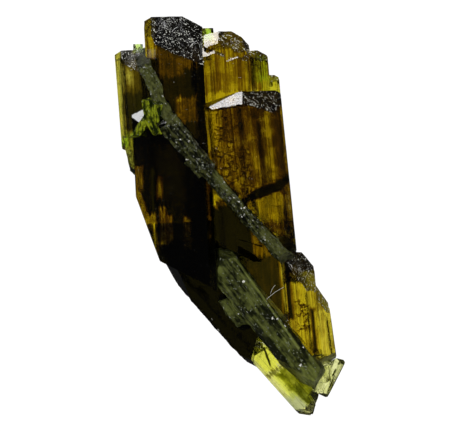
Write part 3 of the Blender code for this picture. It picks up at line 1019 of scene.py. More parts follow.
def on_the_way_in(graph: Graph, colour: Socket) -> Socket:
    """A base colour for glass that tints light where it comes in, and not where it leaves.

    Glass takes the root of its base colour each time that light crosses it, so the colour is
    squared first.

    Args:
        graph: The material's graph.
        colour: The tint that the light takes.

    Returns:
        The base colour.
    """
    inside = graph.add("NewGeometry").outputs["Backfacing"]
    return graph.blend(inside, graph.blend(1.0, colour, colour, how="MULTIPLY"), (1.0, 1.0, 1.0))


def absorbing(graph: Graph, shader: bpy.types.Node, absorbs: Colour) -> None:
    """Put a surface and the light that its inside takes away on the material's output.

    Args:
        graph: The material's graph.
        shader: The surface's shader.
        absorbs: The share of red, green and blue light that is lost over a metre.
    """
    density = max(absorbs)
    through = tuple(1.0 - part / density for part in absorbs)
    volume = graph.add("VolumeAbsorption", {"Color": through, "Density": density})
    graph.fill(graph.show(shader).inputs["Volume"], volume.outputs[0])


@dataclass(frozen=True)
class ClearCrystal:
    """A see-through finish: smoky inside, with clearer windows, streaks, veils and cracks.

    start is how much light the crystal lets through outside its patches. absorbs is the light
    that a metre takes away in red, green and blue. etched and broken are what those facets let
    through, against the smooth ones.
    """

    name: str
    lean: float
    absorbs: Colour
    start: float = 0.6
    patches: tuple[Patch, ...] = ()
    clear: Colour = (1.0, 1.0, 0.9)
    deep: Colour = (0.27, 0.175, 0.03)
    smoke: Colour = (0.02, 0.022, 0.02)
    streak: float = 0.45
    streak_width: float = 0.16
    mottle: float = 0.3
    cracks: float = 0.3
    crack_size: float = 1.1
    crackle: tuple[Patch, ...] = ()
    roughness: float = 0.03
    etched: Colour = (0.12, 0.125, 0.11)
    etched_roughness: float = 0.2
    broken: Colour = (0.2, 0.22, 0.15)
    broken_roughness: float = 0.35
    pits: float = 0.05
    fractures: tuple[tuple[tuple[float, float], float, float], ...] = ()

    def material(self, shared: Shared) -> bpy.types.Material:
        """The finish as a material.

        Args:
            shared: The shader groups.

        Returns:
            The material.
        """
        surface, graph = new_material(self.name)
        place = drawing_place(graph)
        axis = along_axis(graph, place, self.lean)
        etched = graph.add("Attribute", attribute_name="etched").outputs["Fac"]
        broken = graph.add("Attribute", attribute_name="broken").outputs["Fac"]
        light = self.light(graph, shared, place, axis)
        colour = self.colour(graph, light)
        for patch in self.patches:
            if patch.tint:
                tinted = graph.blend(1.0, colour, patch.tint, how="MULTIPLY")
                colour = graph.blend(patch.mask(graph, shared, place, self.lean), colour, tinted)
        head = graph.blend(1.0, colour, self.etched, how="MULTIPLY")
        foot = graph.blend(1.0, colour, self.broken, how="MULTIPLY")
        colour = graph.blend(broken, graph.blend(etched, colour, head), foot)
        roughness = graph.between(etched, self.roughness, self.etched_roughness)
        roughness = graph.between(broken, roughness, self.broken_roughness)
        shader = graph.add(
            "BsdfPrincipled",
            {
                "Base Color": on_the_way_in(graph, colour),
                "Roughness": roughness,
                "IOR": EPIDOTE_IOR,
                "Transmission Weight": 1.0,
                "Normal": self.normal(graph, shared, place, axis, graph.maths("MAXIMUM", etched, broken)),
            },
        )
        absorbing(graph, shader, self.absorbs)
        return surface

    def normal(self, graph: Graph, shared: Shared, place: Socket, axis: Socket, rough: Socket) -> Socket:
        """Fine striae and a few pits on the sides, and an etched skin on the rough facets.

        Args:
            graph: The material's graph.
            shared: The shader groups.
            place: The place in the drawing.
            axis: The same place, turned along the crystal.
            rough: 1 on the rough facets and 0 on the sides.

        Returns:
            The normal.
        """
        fine = graph.use(shared.streaks, {"Vector": axis, "Width": 0.09, "Length": 5.0})["Streak"]
        pit = graph.use(shared.skin, {"Vector": place, "Grain": 0.0, "Pits": 0.035, "Size": 0.16})["Height"]
        side = graph.maths("ADD", graph.maths("MULTIPLY", fine, 0.08), graph.maths("MULTIPLY", pit, 0.9))
        pitted = {"Vector": place, "Grain": 0.4, "Pits": self.pits, "Size": 0.17}
        skin = graph.use(shared.skin, pitted)["Height"]
        return graph.bump(graph.between(rough, side, skin))

    def light(self, graph: Graph, shared: Shared, place: Socket, axis: Socket) -> Socket:
        """How much light the crystal lets through at each place.

        It is the value of the last patch there, times the streaks, the mottle, the cracks, the
        veils between them and the fractures.

        Args:
            graph: The material's graph.
            shared: The shader groups.
            place: The place in the drawing.
            axis: The same place, turned along the crystal.

        Returns:
            The share of light, from 0 to 1 and a little more in the clearest places.
        """
        value: float | Socket = self.start
        for patch in self.patches:
            value = graph.between(patch.mask(graph, shared, place, self.lean), value, patch.value)
        factors = [self.streaked(graph, shared, axis)]
        if self.mottle:
            cloud = graph.noise(place, 0.8, 5.0, roughness=0.65)
            factors.append(graph.ramp(cloud, 0.35, 0.65, (1.0 - self.mottle, 1.0 + 0.5 * self.mottle)))
        if self.cracks:
            factors += self.cracked(graph, shared, place)
        factors += [self.fracture(graph, place, *fracture) for fracture in self.fractures]
        for factor in factors:
            value = graph.maths("MULTIPLY", value, factor)
        return value

    def streaked(self, graph: Graph, shared: Shared, axis: Socket) -> Socket:
        """What wide and thin streaks along the crystal leave of the light.

        Args:
            graph: The material's graph.
            shared: The shader groups.
            axis: The place, turned along the crystal.

        Returns:
            The factor.
        """
        width = self.streak_width
        wide = graph.use(shared.streaks, {"Vector": axis, "Width": 3.5 * width, "Length": 9.0})["Streak"]
        thin = graph.use(shared.streaks, {"Vector": axis, "Width": width, "Length": 6.0})["Streak"]
        both = graph.maths("ADD", graph.maths("MULTIPLY", wide, 0.45), graph.maths("MULTIPLY", thin, 0.55))
        return graph.ramp(both, 0.1, 0.9, (1.0 - self.streak, 1.0 + 0.5 * self.streak))

    def cracked(self, graph: Graph, shared: Shared, place: Socket) -> list[Socket]:
        """What fine cracks leave of the light, and the veils between them.

        Args:
            graph: The material's graph.
            shared: The shader groups.
            place: The place in the drawing.

        Returns:
            The two factors.
        """
        made = graph.use(shared.cracks, {"Vector": place, "Size": self.crack_size, "Width": 0.13})
        strength: float | Socket = 0.35 * self.cracks
        for patch in self.crackle:
            strength = graph.maths("MAXIMUM", strength, patch.mask(graph, shared, place, self.lean))
        line = graph.maths("MULTIPLY", made["Crack"], strength)
        veil = graph.ramp(made["Veil"], 0.0, 1.0, (1.0 - 0.5 * self.cracks, 1.0 + 0.2 * self.cracks))
        return [graph.maths("SUBTRACT", 1.0, line, clamp=True), veil]

    @staticmethod
    def fracture(
        graph: Graph, place: Socket, centre: tuple[float, float], slope: float, width: float
    ) -> Socket:
        """A wavy dark band across the crystal.

        Args:
            graph: The material's graph.
            place: The place in the drawing.
            centre: The x and y of its middle.
            slope: How much it rises over its length.
            width: Its half width, where its soft edge ends.

        Returns:
            0 on the band and 1 away from it.
        """
        x, y, _ = graph.parts(place)
        wave = graph.maths("MULTIPLY", graph.maths("SUBTRACT", graph.noise(place, 0.75, 4.0), 0.5), 1.8)
        rise = graph.maths("MULTIPLY", graph.maths("SUBTRACT", x, centre[0]), slope)
        line = graph.maths("ADD", rise, centre[1])
        off = graph.maths("ABSOLUTE", graph.maths("ADD", graph.maths("SUBTRACT", y, line), wave))
        return graph.ramp(off, 0.5 * width, width)

    def colour(self, graph: Graph, light: Socket) -> Socket:
        """The colour that the light takes on: smoke, then a deep brown, then clear."""
        lower = graph.blend(graph.ramp(light, 0.0, 0.45), self.smoke, self.deep)
        return graph.blend(graph.ramp(light, 0.25, 1.1), lower, self.clear)


@dataclass(frozen=True)
class FrostedCrystal:
    """A milky grey green finish: half of the light is scattered at its rough skin.

    A patch's value moves its colour from dark at 0 to pale at 1, and contrast is how far its
    grain does, at grain lumps to a millimetre. specks is how many pale specks it has, and speck
    their colour.
    """

    name: str
    lean: float
    dark: Colour
    pale: Colour
    absorbs: Colour
    patches: tuple[Patch, ...] = ()
    start: float = 0.5
    contrast: float = 0.45
    grain: float = 0.9
    specks: float = 0.2
    speck: Colour = (0.55, 0.6, 0.45)
    roughness: float = 0.32

    def material(self, shared: Shared) -> bpy.types.Material:
        """The finish as a material.

        Args:
            shared: The shader groups.

        Returns:
            The material.
        """
        surface, graph = new_material(self.name)
        place = drawing_place(graph)
        axis = along_axis(graph, place, self.lean)
        value: float | Socket = self.start
        for patch in self.patches:
            value = graph.between(patch.mask(graph, shared, place, self.lean), value, patch.value)
        cloud = graph.noise(place, self.grain, 6.0, roughness=0.7)
        streak = graph.use(shared.streaks, {"Vector": axis, "Width": 0.25, "Length": 2.2})["Streak"]
        grain = graph.maths("ADD", graph.maths("MULTIPLY", cloud, 0.9), graph.maths("MULTIPLY", streak, 0.2))
        spread = graph.ramp(grain, 0.3, 0.8, (-self.contrast, self.contrast))
        shade = graph.maths("ADD", value, spread, clamp=True)
        base = graph.blend(shade, self.dark, self.pale)
        skin = graph.use(shared.skin, {"Vector": place, "Grain": 1.0, "Pits": self.specks, "Size": 0.18})
        shader = graph.add(
            "BsdfPrincipled",
            {
                "Base Color": graph.blend(skin["Pit"], base, self.speck),
                "Roughness": self.roughness,
                "IOR": EPIDOTE_IOR,
                "Transmission Weight": 0.5,
                "Normal": graph.bump(skin["Height"]),
            },
        )
        absorbing(graph, shader, self.absorbs)
        return surface


@dataclass(frozen=True)
class PaintedGlintMarks:
    """The finish of the etch marks: painted glints, cells from grey to white that stand in for tiny facets
    catching the light.
    """

    # The grey to white of the painted glints.
    dark: Colour = (0.06, 0.06, 0.045)
    pale: Colour = (0.8, 0.8, 0.72)

    def material(self) -> bpy.types.Material:
        """The finish as a material.

        Returns:
            The material.
        """
        surface, graph = new_material("painted_glint_marks")
        chance = graph.noise(drawing_place(graph), 7.0, 2.0)
        colour = graph.blend(graph.ramp(chance, 0.4, 0.62), self.dark, self.pale)
        graph.show(graph.add("BsdfPrincipled", {"Base Color": colour, "Roughness": 0.45, "IOR": EPIDOTE_IOR}))
        return surface


@dataclass
class Piece:
    """A node of the cluster: crystals that grew as one, and how they are dressed."""

    node: str = ""
    slot: str = ""
    finish: ClearCrystal | FrostedCrystal | None = None

    def crystals(self) -> list[Crystal]:
        """The crystals among its fields, in order."""
        return [value for value in vars(self).values() if isinstance(value, Crystal)]

    def build(self, earlier: list[bpy.types.Mesh]) -> bpy.types.Mesh:
        """Join the crystals and cut them back where earlier pieces grew first.

        Args:
            earlier: The meshes of the pieces built before.

        Returns:
            The mesh, which fits the earlier ones with no gap.
        """
        first, *others = [crystal.mesh() for crystal in self.crystals()]
        mesh = combined(first, [("UNION", other) for other in others])
        cuts = [("DIFFERENCE", other.copy()) for other in earlier if touches(mesh, other)]
        if cuts:
            mesh = combined(mesh, cuts)
        drop_crumbs(mesh)
        return mesh

    def dress(self, mesh: bpy.types.Mesh, looks: Shared) -> bpy.types.Object:
        """Give the piece its edges and its materials, and set it in the frame.

        The kinds of facets go from the mesh's slots to two masks that its finish reads, and the
        etch marks have a material of their own, with painted glints.

        Args:
            mesh: The built mesh.
            looks: The shader groups.

        Returns:
            The piece.
        """
        mesh = mesh.copy()
        mesh.name = self.node
        shrunk(mesh, CONTACT)
        mesh.shade_smooth()
        mesh.set_sharp_from_angle(angle=SHARP_ANGLE)
        kinds = np.empty(len(mesh.polygons), np.int32)
        mesh.polygons.foreach_get("material_index", kinds)
        for name, kind in (("etched", Face.ETCHED), ("broken", Face.BROKEN)):
            mask = mesh.attributes.new(name, "FLOAT", "FACE")
            mask.data.foreach_set("value", (kinds == kind.value).astype(np.float32))
        mesh.materials.clear()
        mesh.materials.append(self.finish.material(looks))
        # The etch marks take the material of painted glints.
        mesh.materials.append(looks.marks)
        mesh.polygons.foreach_set("material_index", (kinds == Face.GLINT.value).astype(np.int32))
        piece = bpy.data.objects.new(f"{self.node}_crystals", mesh)
        bpy.context.scene.collection.objects.link(piece)
        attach(piece, BODY)
        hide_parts(self.node)
        return piece


@dataclass(frozen=True)
class BladeLine:
    """The blade that crosses the front: its bent middle line and the runs between the bends."""

    points: tuple[tuple[float, float], ...]
    fronts: tuple[float, ...]
    widths: tuple[float, ...]
    back: float
    lap: float

    def run(self, number: int) -> Crystal:
        """One straight run, between two points of the middle line.

        Args:
            number: The number of the run's first point.

        Returns:
            The run as a crystal, which laps over its neighbours at the bends.
        """
        start = np.array(self.points[number])
        end = np.array(self.points[number + 1])
        along = (start - end) / np.linalg.norm(start - end)
        if number:
            start = start + along * self.lap
        if number < len(self.fronts) - 1:
            end = end - along * self.lap
        middle = (start + end) / 2
        front = self.fronts[number]
        half = self.widths[number] / 2
        depth = (front - self.back - 0.2 * number) / 2
        fronts = ((70, depth - 0.05), (115, depth + 0.02))
        return Crystal(
            at=(middle[0], middle[1], front - depth),
            lean=math.degrees(math.atan2(-along[0], along[1])),
            sides=((0, half), *fronts, (180, half), (240, depth), (270, depth)),
            ends=(
                Facet((along[0], along[1], 0.25), (start[0], start[1], front), Face.BROKEN),
                Facet((-along[0], -along[1], 0.3), (end[0], end[1], front), Face.BROKEN),
            ),
            striae=Striae(0.13, 0.07, 10.0, 40 + number, ragged=0.22, step=0.16, marks=0.016),
        )

    def edge(self, first: int, last: int, side: int, offset: float) -> Facet:
        """A facet along the blade's line between two of its points.

        Args:
            first: The first point's number.
            last: The last point's number.
            side: 1 above the line and -1 below it.
            offset: The distance from the line.

        Returns:
            The facet.
        """
        start = np.array(self.points[first])
        run = np.array(self.points[last]) - start
        run = run / np.linalg.norm(run)
        away = np.array((-run[1], run[0])) * side
        point = start + away * offset
        return Facet((-away[0], -away[1], 0.0), (point[0], point[1], 6.0))


BLADE = BladeLine(
    points=((-8.3, 15.0), (-5.7, 8.8), (-2.55, 4.8), (5.35, -3.85)),
    fronts=(8.9, 10.1, 10.2),
    widths=(1.2, 2.1, 1.25),
    back=2.4,
    lap=0.45,
)
AMBER_ABSORBS = (105.0, 148.0, 800.0)
GREEN_ABSORBS = (62.0, 60.0, 340.0)


@dataclass
class CrossBlade(Piece):
    """The thin speckled blade, of three runs that meet at its bends."""

    node: str = "cross_blade"
    slot: str = "frosted_crystal"
    line: BladeLine = BLADE
    finish: FrostedCrystal = FrostedCrystal(
        "blade_speckled",
        40.0,
        (0.003, 0.004, 0.002),
        (0.17, 0.185, 0.05),
        (110.0, 100.0, 330.0),
        start=0.16,
        contrast=0.65,
        grain=2.4,
        specks=0.2,
        patches=(
            Patch((-6.9, 12.0), (1.0, 3.2), 0.7, lean=22.0),
            Patch((-0.35, 3.4), (0.55, 1.2), 1.2, lean=42.0),
            Patch((1.3, 1.0), (0.12, 1.6), 0.75, lean=42.4, soft=0.15),
            Patch((4.6, -2.6), (0.6, 1.9), 0.75, lean=42.0),
        ),
    )

    def crystals(self) -> list[Crystal]:
        """The runs between its bends."""
        return [self.line.run(number) for number in range(len(self.line.fronts))]


@dataclass
class AmberPrism(Piece):
    """The large clear crystal at the front right, its foot cut off by the blade.

    A steep facet left of its mirror bright one narrows that to a leaf.
    """

    node: str = "amber_prism"
    slot: str = "amber_crystal"
    main: Crystal = Crystal(
        at=(1.65, 10.6, 7.4),
        lean=5.8,
        sides=(
            (0, 3.65),
            (38, 3.81),
            (80, 3.1),
            (102, 3.19),
            (150, 4.2),
            (180, 4.0),
            (270, 3.1),
            (320, 4.15),
        ),
        ends=head((1.35, 11.1), 10.6, (1.35, 12.4), mirror=(1.35, 11.1), right_from=(4.2, 12.75))
        + (BLADE.edge(2, 3, 1, BLADE.widths[2] / 2),)
        + broken((0.1, -1.0, 0.25), (6.0, -4.2, 7.0), 51)
        + (Facet((-0.41, 0.88, 0.24), (0.6, 12.17, 9.2)),),
        striae=Striae(0.4, 0.06, 2.5, 11),
    )
    finish: ClearCrystal = ClearCrystal(
        "amber_clear",
        5.8,
        AMBER_ABSORBS,
        start=0.8,
        mottle=0.35,
        cracks=0.5,
        crack_size=0.85,
        crackle=(Patch((0.3, 5.6), (1.9, 3.6), 1.0), Patch((-1.2, 9.5), (1.2, 1.5), 1.0)),
        patches=(
            Patch((0.9, 9.2), (1.6, 1.9), 0.6),
            Patch((2.2, 10.3), (1.7, 0.6), 0.45),
            Patch((-1.75, 9.5), (0.5, 2.9), 2.4),
            # Painted shade left of the mirror bright facet.
            Patch((-1.6, 11.6), (0.5, 0.9), 0.2),
            Patch((1.3, 9.1), (0.3, 1.6), 0.25, ragged=0.3),
            Patch((3.25, 7.0), (0.22, 2.3), 0.25, ragged=0.3),
            Patch((3.9, 7.2), (0.45, 2.6), 1.15),
            Patch((4.1, 0.9), (1.3, 1.4), 1.3),
            Patch((5.1, 6.5), (0.45, 4.5), 0.3),
        ),
        fractures=(((3.8, 2.6), 0.47, 0.62),),
    )


@dataclass
class BlackPrism(Piece):
    """The broad black crystal at the front left, cut off by the blade above."""

    node: str = "black_prism"
    slot: str = "black_crystal"
    main: Crystal = Crystal(
        at=(-5.85, 2.6, 6.2),
        lean=3.0,
        sides=((0, 4.2), (40, 5.1), (90, 3.8), (140, 3.85), (180, 3.4), (225, 4.3), (270, 3.5), (315, 4.9)),
        ends=(
            BLADE.edge(1, 3, -1, 0.0),
            Facet(MIRROR, (-9.2, 9.9, 8.2), Face.MIRROR),
            Facet(UNDERCUT, (-9.2, 10.05, 7.6), Face.ETCHED),
            Facet((-0.936, -0.351, 0.0), (-8.06, -1.22, 6.0)),
            Facet((-0.45, -0.89, 0.0), (-6.65, -4.59, 6.0)),
        ),
        striae=Striae(0.45, 0.05, 2.0, 17),
    )
    finish: ClearCrystal = ClearCrystal(
        "black_smoky",
        3.0,
        AMBER_ABSORBS,
        start=0.0,
        mottle=0.5,
        patches=(
            Patch((-8.95, 3.8), (0.45, 1.3), 0.8),
            Patch((-8.55, 0.4), (0.4, 2.4), 1.1, lean=18.0),
            Patch((-7.8, -1.6), (0.7, 1.8), 1.1),
            Patch((-6.85, 2.8), (0.25, 1.1), 0.75),
            Patch((-6.5, -1.1), (0.3, 1.9), 0.8),
            Patch((-5.8, -1.3), (0.25, 1.5), 0.65),
            Patch((-4.0, -1.7), (0.35, 1.6), 0.8),
            Patch((-1.9, 0.5), (0.1, 3.3), 0.5),
        ),
    )


@dataclass
class TallPrism(Piece):
    """The tallest crystal: a long prism with a dark etched head, its back on the surface."""

    node: str = "tall_prism"
    slot: str = "brown_crystal"
    main: Crystal = Crystal(
        at=(-5.4, 16.6, 4.1),
        lean=3.0,
        sides=((0, 2.85), (90, 4.1), (155, 3.45), (180, 2.9), (225, 4.5), (270, 4.1), (320, 4.1)),
        ends=head((-4.95, 16.0), 8.2, (-5.3, 19.95), right_from=(-4.3, 19.75), flank=(-8.35, 19.75, 4.3))
        + broken((0.25, -1.0, 0.15), (-4.6, -2.0, 1.0), 52),
        striae=Striae(0.4, 0.05, 2.5, 3),
    )
    finish: ClearCrystal = ClearCrystal(
        "brown_smoky",
        3.0,
        AMBER_ABSORBS,
        start=0.06,
        mottle=0.5,
        cracks=0.5,
        patches=(
            Patch((-7.85, 17.8), (0.6, 2.1), 1.3),
            Patch((-5.05, 15.4), (2.2, 1.5), 0.26),
            Patch((-3.45, 13.4), (0.95, 1.4), 0.03),
            Patch((-4.15, 10.6), (1.05, 1.3), 0.5),
            Patch((-6.6, 2.0), (2.4, 5.2), 1.1),
        ),
    )


# The broken feet of the stepped group, one for each of its front prisms.
STEPPED_FEET = tuple(
    broken((-0.15, -1.0, 0.1), (1.0, -4.9 + 0.37 * number, 3.0), 53 + number) for number in range(3)
)


@dataclass
class RightPrisms(Piece):
    """The stepped group right of the seam: six parallel crystals, one in the seam and a tip."""

    node: str = "right_prisms"
    slot: str = "amber_crystal"
    broad: Crystal = Crystal(
        at=(-0.3, 16.6, 3.7),
        lean=4.2,
        sides=((0, 2.35), (45, 3.55), (90, 3.5), (140, 3.7), (180, 2.1), (225, 3.6), (270, 3.7), (315, 3.9)),
        ends=head((0.5, 16.5), 7.2, (0.3, 18.42), mirror=(-1.3, 17.1), right_from=(0.4, 18.35))
        + (Facet((0.85, 0.45, 0.2), (1.8, 17.0, 5.0), Face.ETCHED),)
        + STEPPED_FEET[0],
        striae=Striae(0.3, 0.05, 4.0, 7),
    )
    second: Crystal = Crystal(
        at=(-1.35, 15.2, 4.6),
        lean=4.2,
        sides=((0, 1.0), (90, 2.9), (180, 1.15), (270, 3.9)),
        ends=head((-0.4, 15.75), 7.5, (-0.6, 17.0), mirror=(-1.4, 16.2)) + STEPPED_FEET[1],
        striae=Striae(0.3, 0.04, 3.0, 71),
    )
    third: Crystal = Crystal(
        at=(0.75, 14.9, 4.4),
        lean=4.2,
        sides=((0, 1.3), (90, 3.0), (180, 0.95), (270, 3.6)),
        ends=head((1.3, 15.6), 7.4, (1.2, 16.6), mirror=(0.5, 15.6)) + STEPPED_FEET[2],
        striae=Striae(0.3, 0.04, 3.0, 72),
    )
    outer: Crystal = Crystal(
        at=(2.45, 15.0, 3.5),
        lean=4.6,
        sides=((0, 1.5), (50, 2.6), (90, 2.7), (180, 1.4), (230, 2.3), (270, 3.1), (320, 2.8)),
        ends=head((2.9, 15.5), 6.2, (2.4, 16.5), mirror=(1.8, 15.9), right_from=(3.3, 16.3))
        + (Facet((0.3, -1.0, 0.1), (3.6, 1.0, 3.0)),),
        striae=Striae(0.25, 0.06, 6.0, 8),
    )
    edge: Crystal = Crystal(
        at=(4.15, 13.0, 3.0),
        lean=5.4,
        sides=((0, 0.95), (55, 1.9), (90, 2.1), (180, 1.2), (250, 2.2), (300, 2.2)),
        ends=head((4.2, 13.5), 5.1, (4.3, 14.1), right_from=(4.6, 14.1))
        + (Facet((0.3, -1.0, 0.2), (4.9, 4.0, 3.0)),),
        striae=Striae(0.25, 0.05, 5.0, 9),
    )
    tip: Crystal = Crystal(
        at=(-2.05, 17.0, 2.4),
        lean=3.0,
        sides=((0, 0.6), (60, 1.3), (120, 1.3), (180, 0.5), (240, 1.2), (300, 1.2)),
        ends=head((-1.9, 17.6), 3.8, (-1.95, 18.85), face=Face.SMOOTH)
        + (Facet((0.0, -1.0, 0.0), (-2.0, 10.0, 2.4)),),
        striae=Striae(0.25, 0.03, 5.0, 73),
    )
    seam: Crystal = Crystal(
        at=(-1.95, 6.0, 3.4),
        lean=3.6,
        sides=((0, 0.75), (90, 3.2), (180, 0.75), (270, 3.4)),
        ends=(Facet((0.0, 1.0, 0.2), (-2.4, 15.0, 3.4)),) + STEPPED_FEET[1],
        striae=Striae(0.3, 0.04, 3.0, 74),
    )
    low: Crystal = Crystal(
        at=(3.0, 0.0, 2.9),
        lean=4.6,
        sides=((0, 2.35), (60, 2.9), (90, 2.3), (120, 2.9), (180, 2.2), (225, 2.6), (270, 2.2), (315, 2.6)),
        ends=(
            Facet((0.1, 1.0, 0.2), (2.6, 5.0, 2.9)),
            Facet((-0.55, -0.83, 0.1), (5.6, -10.9, 3.0), Face.BROKEN),
            Facet((0.3, -1.0, 0.2), (5.2, -10.2, 3.0), Face.BROKEN),
        ),
        striae=Striae(0.35, 0.05, 4.0, 10),
    )
    finish: ClearCrystal = ClearCrystal(
        "amber_stepped",
        4.2,
        AMBER_ABSORBS,
        start=0.66,
        streak=0.45,
        mottle=0.25,
        etched=(0.4, 0.42, 0.3),
        patches=(
            Patch((1.6, 5.4), (3.6, 7.0), 1.5),
            Patch((0.4, 1.4), (1.6, 1.0), 0.35, lean=42.4),
            Patch((0.3, -2.3), (2.1, 3.3), 0.0),
            Patch((3.85, -2.4), (1.4, 1.8), 0.5),
            Patch((3.6, -7.8), (1.7, 3.8), 0.1),
            Patch((-2.1, 18.2), (0.5, 0.7), 1.3, tint=(0.6, 1.0, 0.3)),
            Patch((2.6, 14.6), (0.3, 1.4), 0.5, tint=(0.7, 1.0, 0.5)),
            Patch((3.4, 14.8), (0.5, 1.4), 1.1, tint=(0.7, 1.0, 0.5)),
            Patch((4.2, 13.1), (0.9, 0.9), 1.5, tint=(0.9, 1.0, 0.7)),
        ),
    )


@dataclass
class LeftPrism(Piece):
    """The short crystal on the left edge, with one grown through its top and one at its foot."""

    node: str = "left_prism"
    slot: str = "olive_crystal"
    main: Crystal = Crystal(
        at=(-9.85, 14.6, 3.6),
        lean=4.4,
        sides=((0, 1.7), (90, 2.8), (150, 1.8), (180, 1.4), (225, 2.75), (270, 2.8), (315, 2.7)),
        ends=head((-9.45, 14.6), 6.4, (-9.45, 16.55), flank=(-11.5, 16.1, 4.0))
        + (Facet((-0.35, -0.93, 0.1), (-10.7, 7.0, 3.6)), Facet((-0.8, -0.55, 0.2), (-10.9, 7.3, 3.6))),
        striae=Striae(0.28, 0.05, 6.0, 5),
    )
    behind: Crystal = Crystal(
        at=(-8.95, 14.6, 2.7),
        lean=3.4,
        sides=((0, 0.5), (60, 1.05), (120, 0.95), (180, 0.45), (240, 1.0), (300, 1.1)),
        ends=head((-8.95, 15.9), 3.9, (-8.8, 17.25), face=Face.SMOOTH)
        + (Facet((-0.3, -1.0, 0.0), (-9.1, 5.0, 2.7)),),
        striae=Striae(0.25, 0.03, 5.0, 51),
    )
    foot: Crystal = Crystal(
        at=(-9.45, 6.0, 4.4),
        lean=12.0,
        sides=((0, 0.8), (90, 1.5), (150, 1.15), (180, 0.7), (230, 1.2), (270, 1.5)),
        ends=(
            Facet((0.0, 1.0, 0.2), (-9.8, 8.0, 4.4), Face.BROKEN),
            Facet((-0.9, -0.8, 0.1), (-9.6, 4.7, 4.4), Face.BROKEN),
        ),
        striae=Striae(0.25, 0.05, 5.0, 52, ragged=0.08, step=0.3),
    )
    finish: ClearCrystal = ClearCrystal(
        "olive_striped",
        4.4,
        (105.0, 128.0, 520.0),
        start=0.1,
        streak=0.3,
        deep=(0.2, 0.15, 0.03),
        etched=(0.5, 0.52, 0.4),
        patches=(
            Patch((-10.2, 13.9), (1.0, 1.3), 0.75, soft=1.4),
            Patch((-11.0, 11.4), (0.45, 6.5), 1.4, tint=(1.0, 1.1, 0.7)),
            Patch((-10.55, 7.4), (0.5, 0.5), 1.3, tint=(0.7, 1.1, 0.4)),
            Patch((-9.0, 16.9), (0.6, 0.6), 1.2, tint=(0.7, 1.0, 0.4)),
            Patch((-9.6, 5.5), (0.5, 3.0), 0.7, tint=(0.85, 1.0, 0.5)),
        ),
    )


@dataclass
class GreenSplinters(Piece):
    """Four small green crystals in the corner above the black prism."""

    node: str = "green_splinters"
    slot: str = "green_crystal"
    places: tuple[tuple[float, float, float, float, float], ...] = (
        (-8.05, 10.6, 9.2, 12.0, 0.46),
        (-7.35, 10.3, 9.4, -14.0, 0.5),
        (-7.75, 9.2, 10.0, 30.0, 0.38),
        (-8.5, 9.2, 9.45, -34.0, 0.38),
    )
    finish: FrostedCrystal = FrostedCrystal(
        "green_bright",
        10.0,
        (0.012, 0.022, 0.002),
        (0.42, 0.5, 0.02),
        (60.0, 25.0, 420.0),
        start=0.4,
        contrast=0.9,
        specks=0.03,
        roughness=0.15,
    )

    def crystals(self) -> list[Crystal]:
        """One six sided crystal for each (x, y, z, lean, half width).

        Returns:
            The crystals.
        """
        return [
            Crystal(
                at=(x, y, z),
                lean=lean,
                sides=tuple((angle, half * (1.0 if angle % 120 else 1.25)) for angle in range(0, 360, 60)),
                ends=(
                    Facet((0.3, 1.0, 0.5), (x, y + 1.1, z)),
                    Facet((-0.6, 0.7, -0.3), (x, y + 1.2, z)),
                    Facet((0.1, -1.0, 0.3), (x, y - 1.2, z)),
                ),
                striae=Striae(0.18, 0.03, 8.0, round(lean) + 60, ragged=0.06, step=0.2),
            )
            for x, y, z, lean, half in self.places
        ]


@dataclass
class FrostedBlade(Piece):
    """The long grey green blade on the front of the lower part, and the stub beside it."""

    node: str = "frosted_blade"
    slot: str = "frosted_crystal"
    blade: Crystal = Crystal(
        at=(1.25, -7.1, 6.9),
        lean=38.3,
        sides=((0, 1.5), (35, 1.85), (85, 1.75), (105, 1.8), (150, 1.95), (180, 1.6), (250, 1.5), (290, 1.5)),
        ends=(
            Facet((-1.0, 0.15, 0.2), (-1.35, -6.4, 7.0), Face.BROKEN),
            Facet((0.1, 1.0, 0.35), (0.0, -4.2, 8.3), Face.BROKEN),
            Facet((-0.12, -0.97, 0.3), (8.1, -16.55, 6.9), Face.BROKEN),
            Facet((0.86, -0.5, 0.2), (8.6, -16.4, 6.9), Face.BROKEN),
            Facet((-0.55, -0.8, 0.25), (6.8, -15.5, 6.9), Face.BROKEN),
        ),
        dip=3.5,
        striae=Striae(0.2, 0.06, 6.0, 27, ragged=0.12, step=0.2, marks=0.006),
    )
    stub: Crystal = Crystal(
        at=(0.7, -9.5, 6.3),
        lean=33.0,
        sides=((0, 1.0), (60, 1.1), (110, 1.15), (180, 0.75), (230, 1.0), (300, 0.9)),
        ends=(
            Facet((-0.4, 1.0, 0.2), (0.2, -8.0, 6.3), Face.BROKEN),
            Facet((0.2, -1.0, 0.5), (1.3, -10.8, 6.3), Face.BROKEN),
        ),
        striae=Striae(0.15, 0.06, 9.0, 28, ragged=0.22, step=0.16, marks=0.01),
    )
    finish: FrostedCrystal = FrostedCrystal(
        "blade_frosted",
        38.3,
        (0.01, 0.012, 0.004),
        (0.27, 0.31, 0.07),
        (100.0, 90.0, 330.0),
        start=0.3,
        contrast=0.5,
        specks=0.1,
        patches=(
            # Painted shade on the blade's side face, at its lower end and right of its ridge.
            Patch((4.9, -14.0), (0.4, 3.2), -0.3),
            Patch((4.35, -9.1), (0.45, 5.2), 0.0, lean=35.2),
            # A painted highlight along the ridge.
            Patch((3.8, -8.65), (0.1, 5.6), 1.1, lean=35.2, soft=0.12, ragged=0.15),
            Patch((8.1, -16.1), (0.8, 0.9), 0.7),
            Patch((0.3, -5.6), (0.7, 1.2), 0.4),
        ),
    )


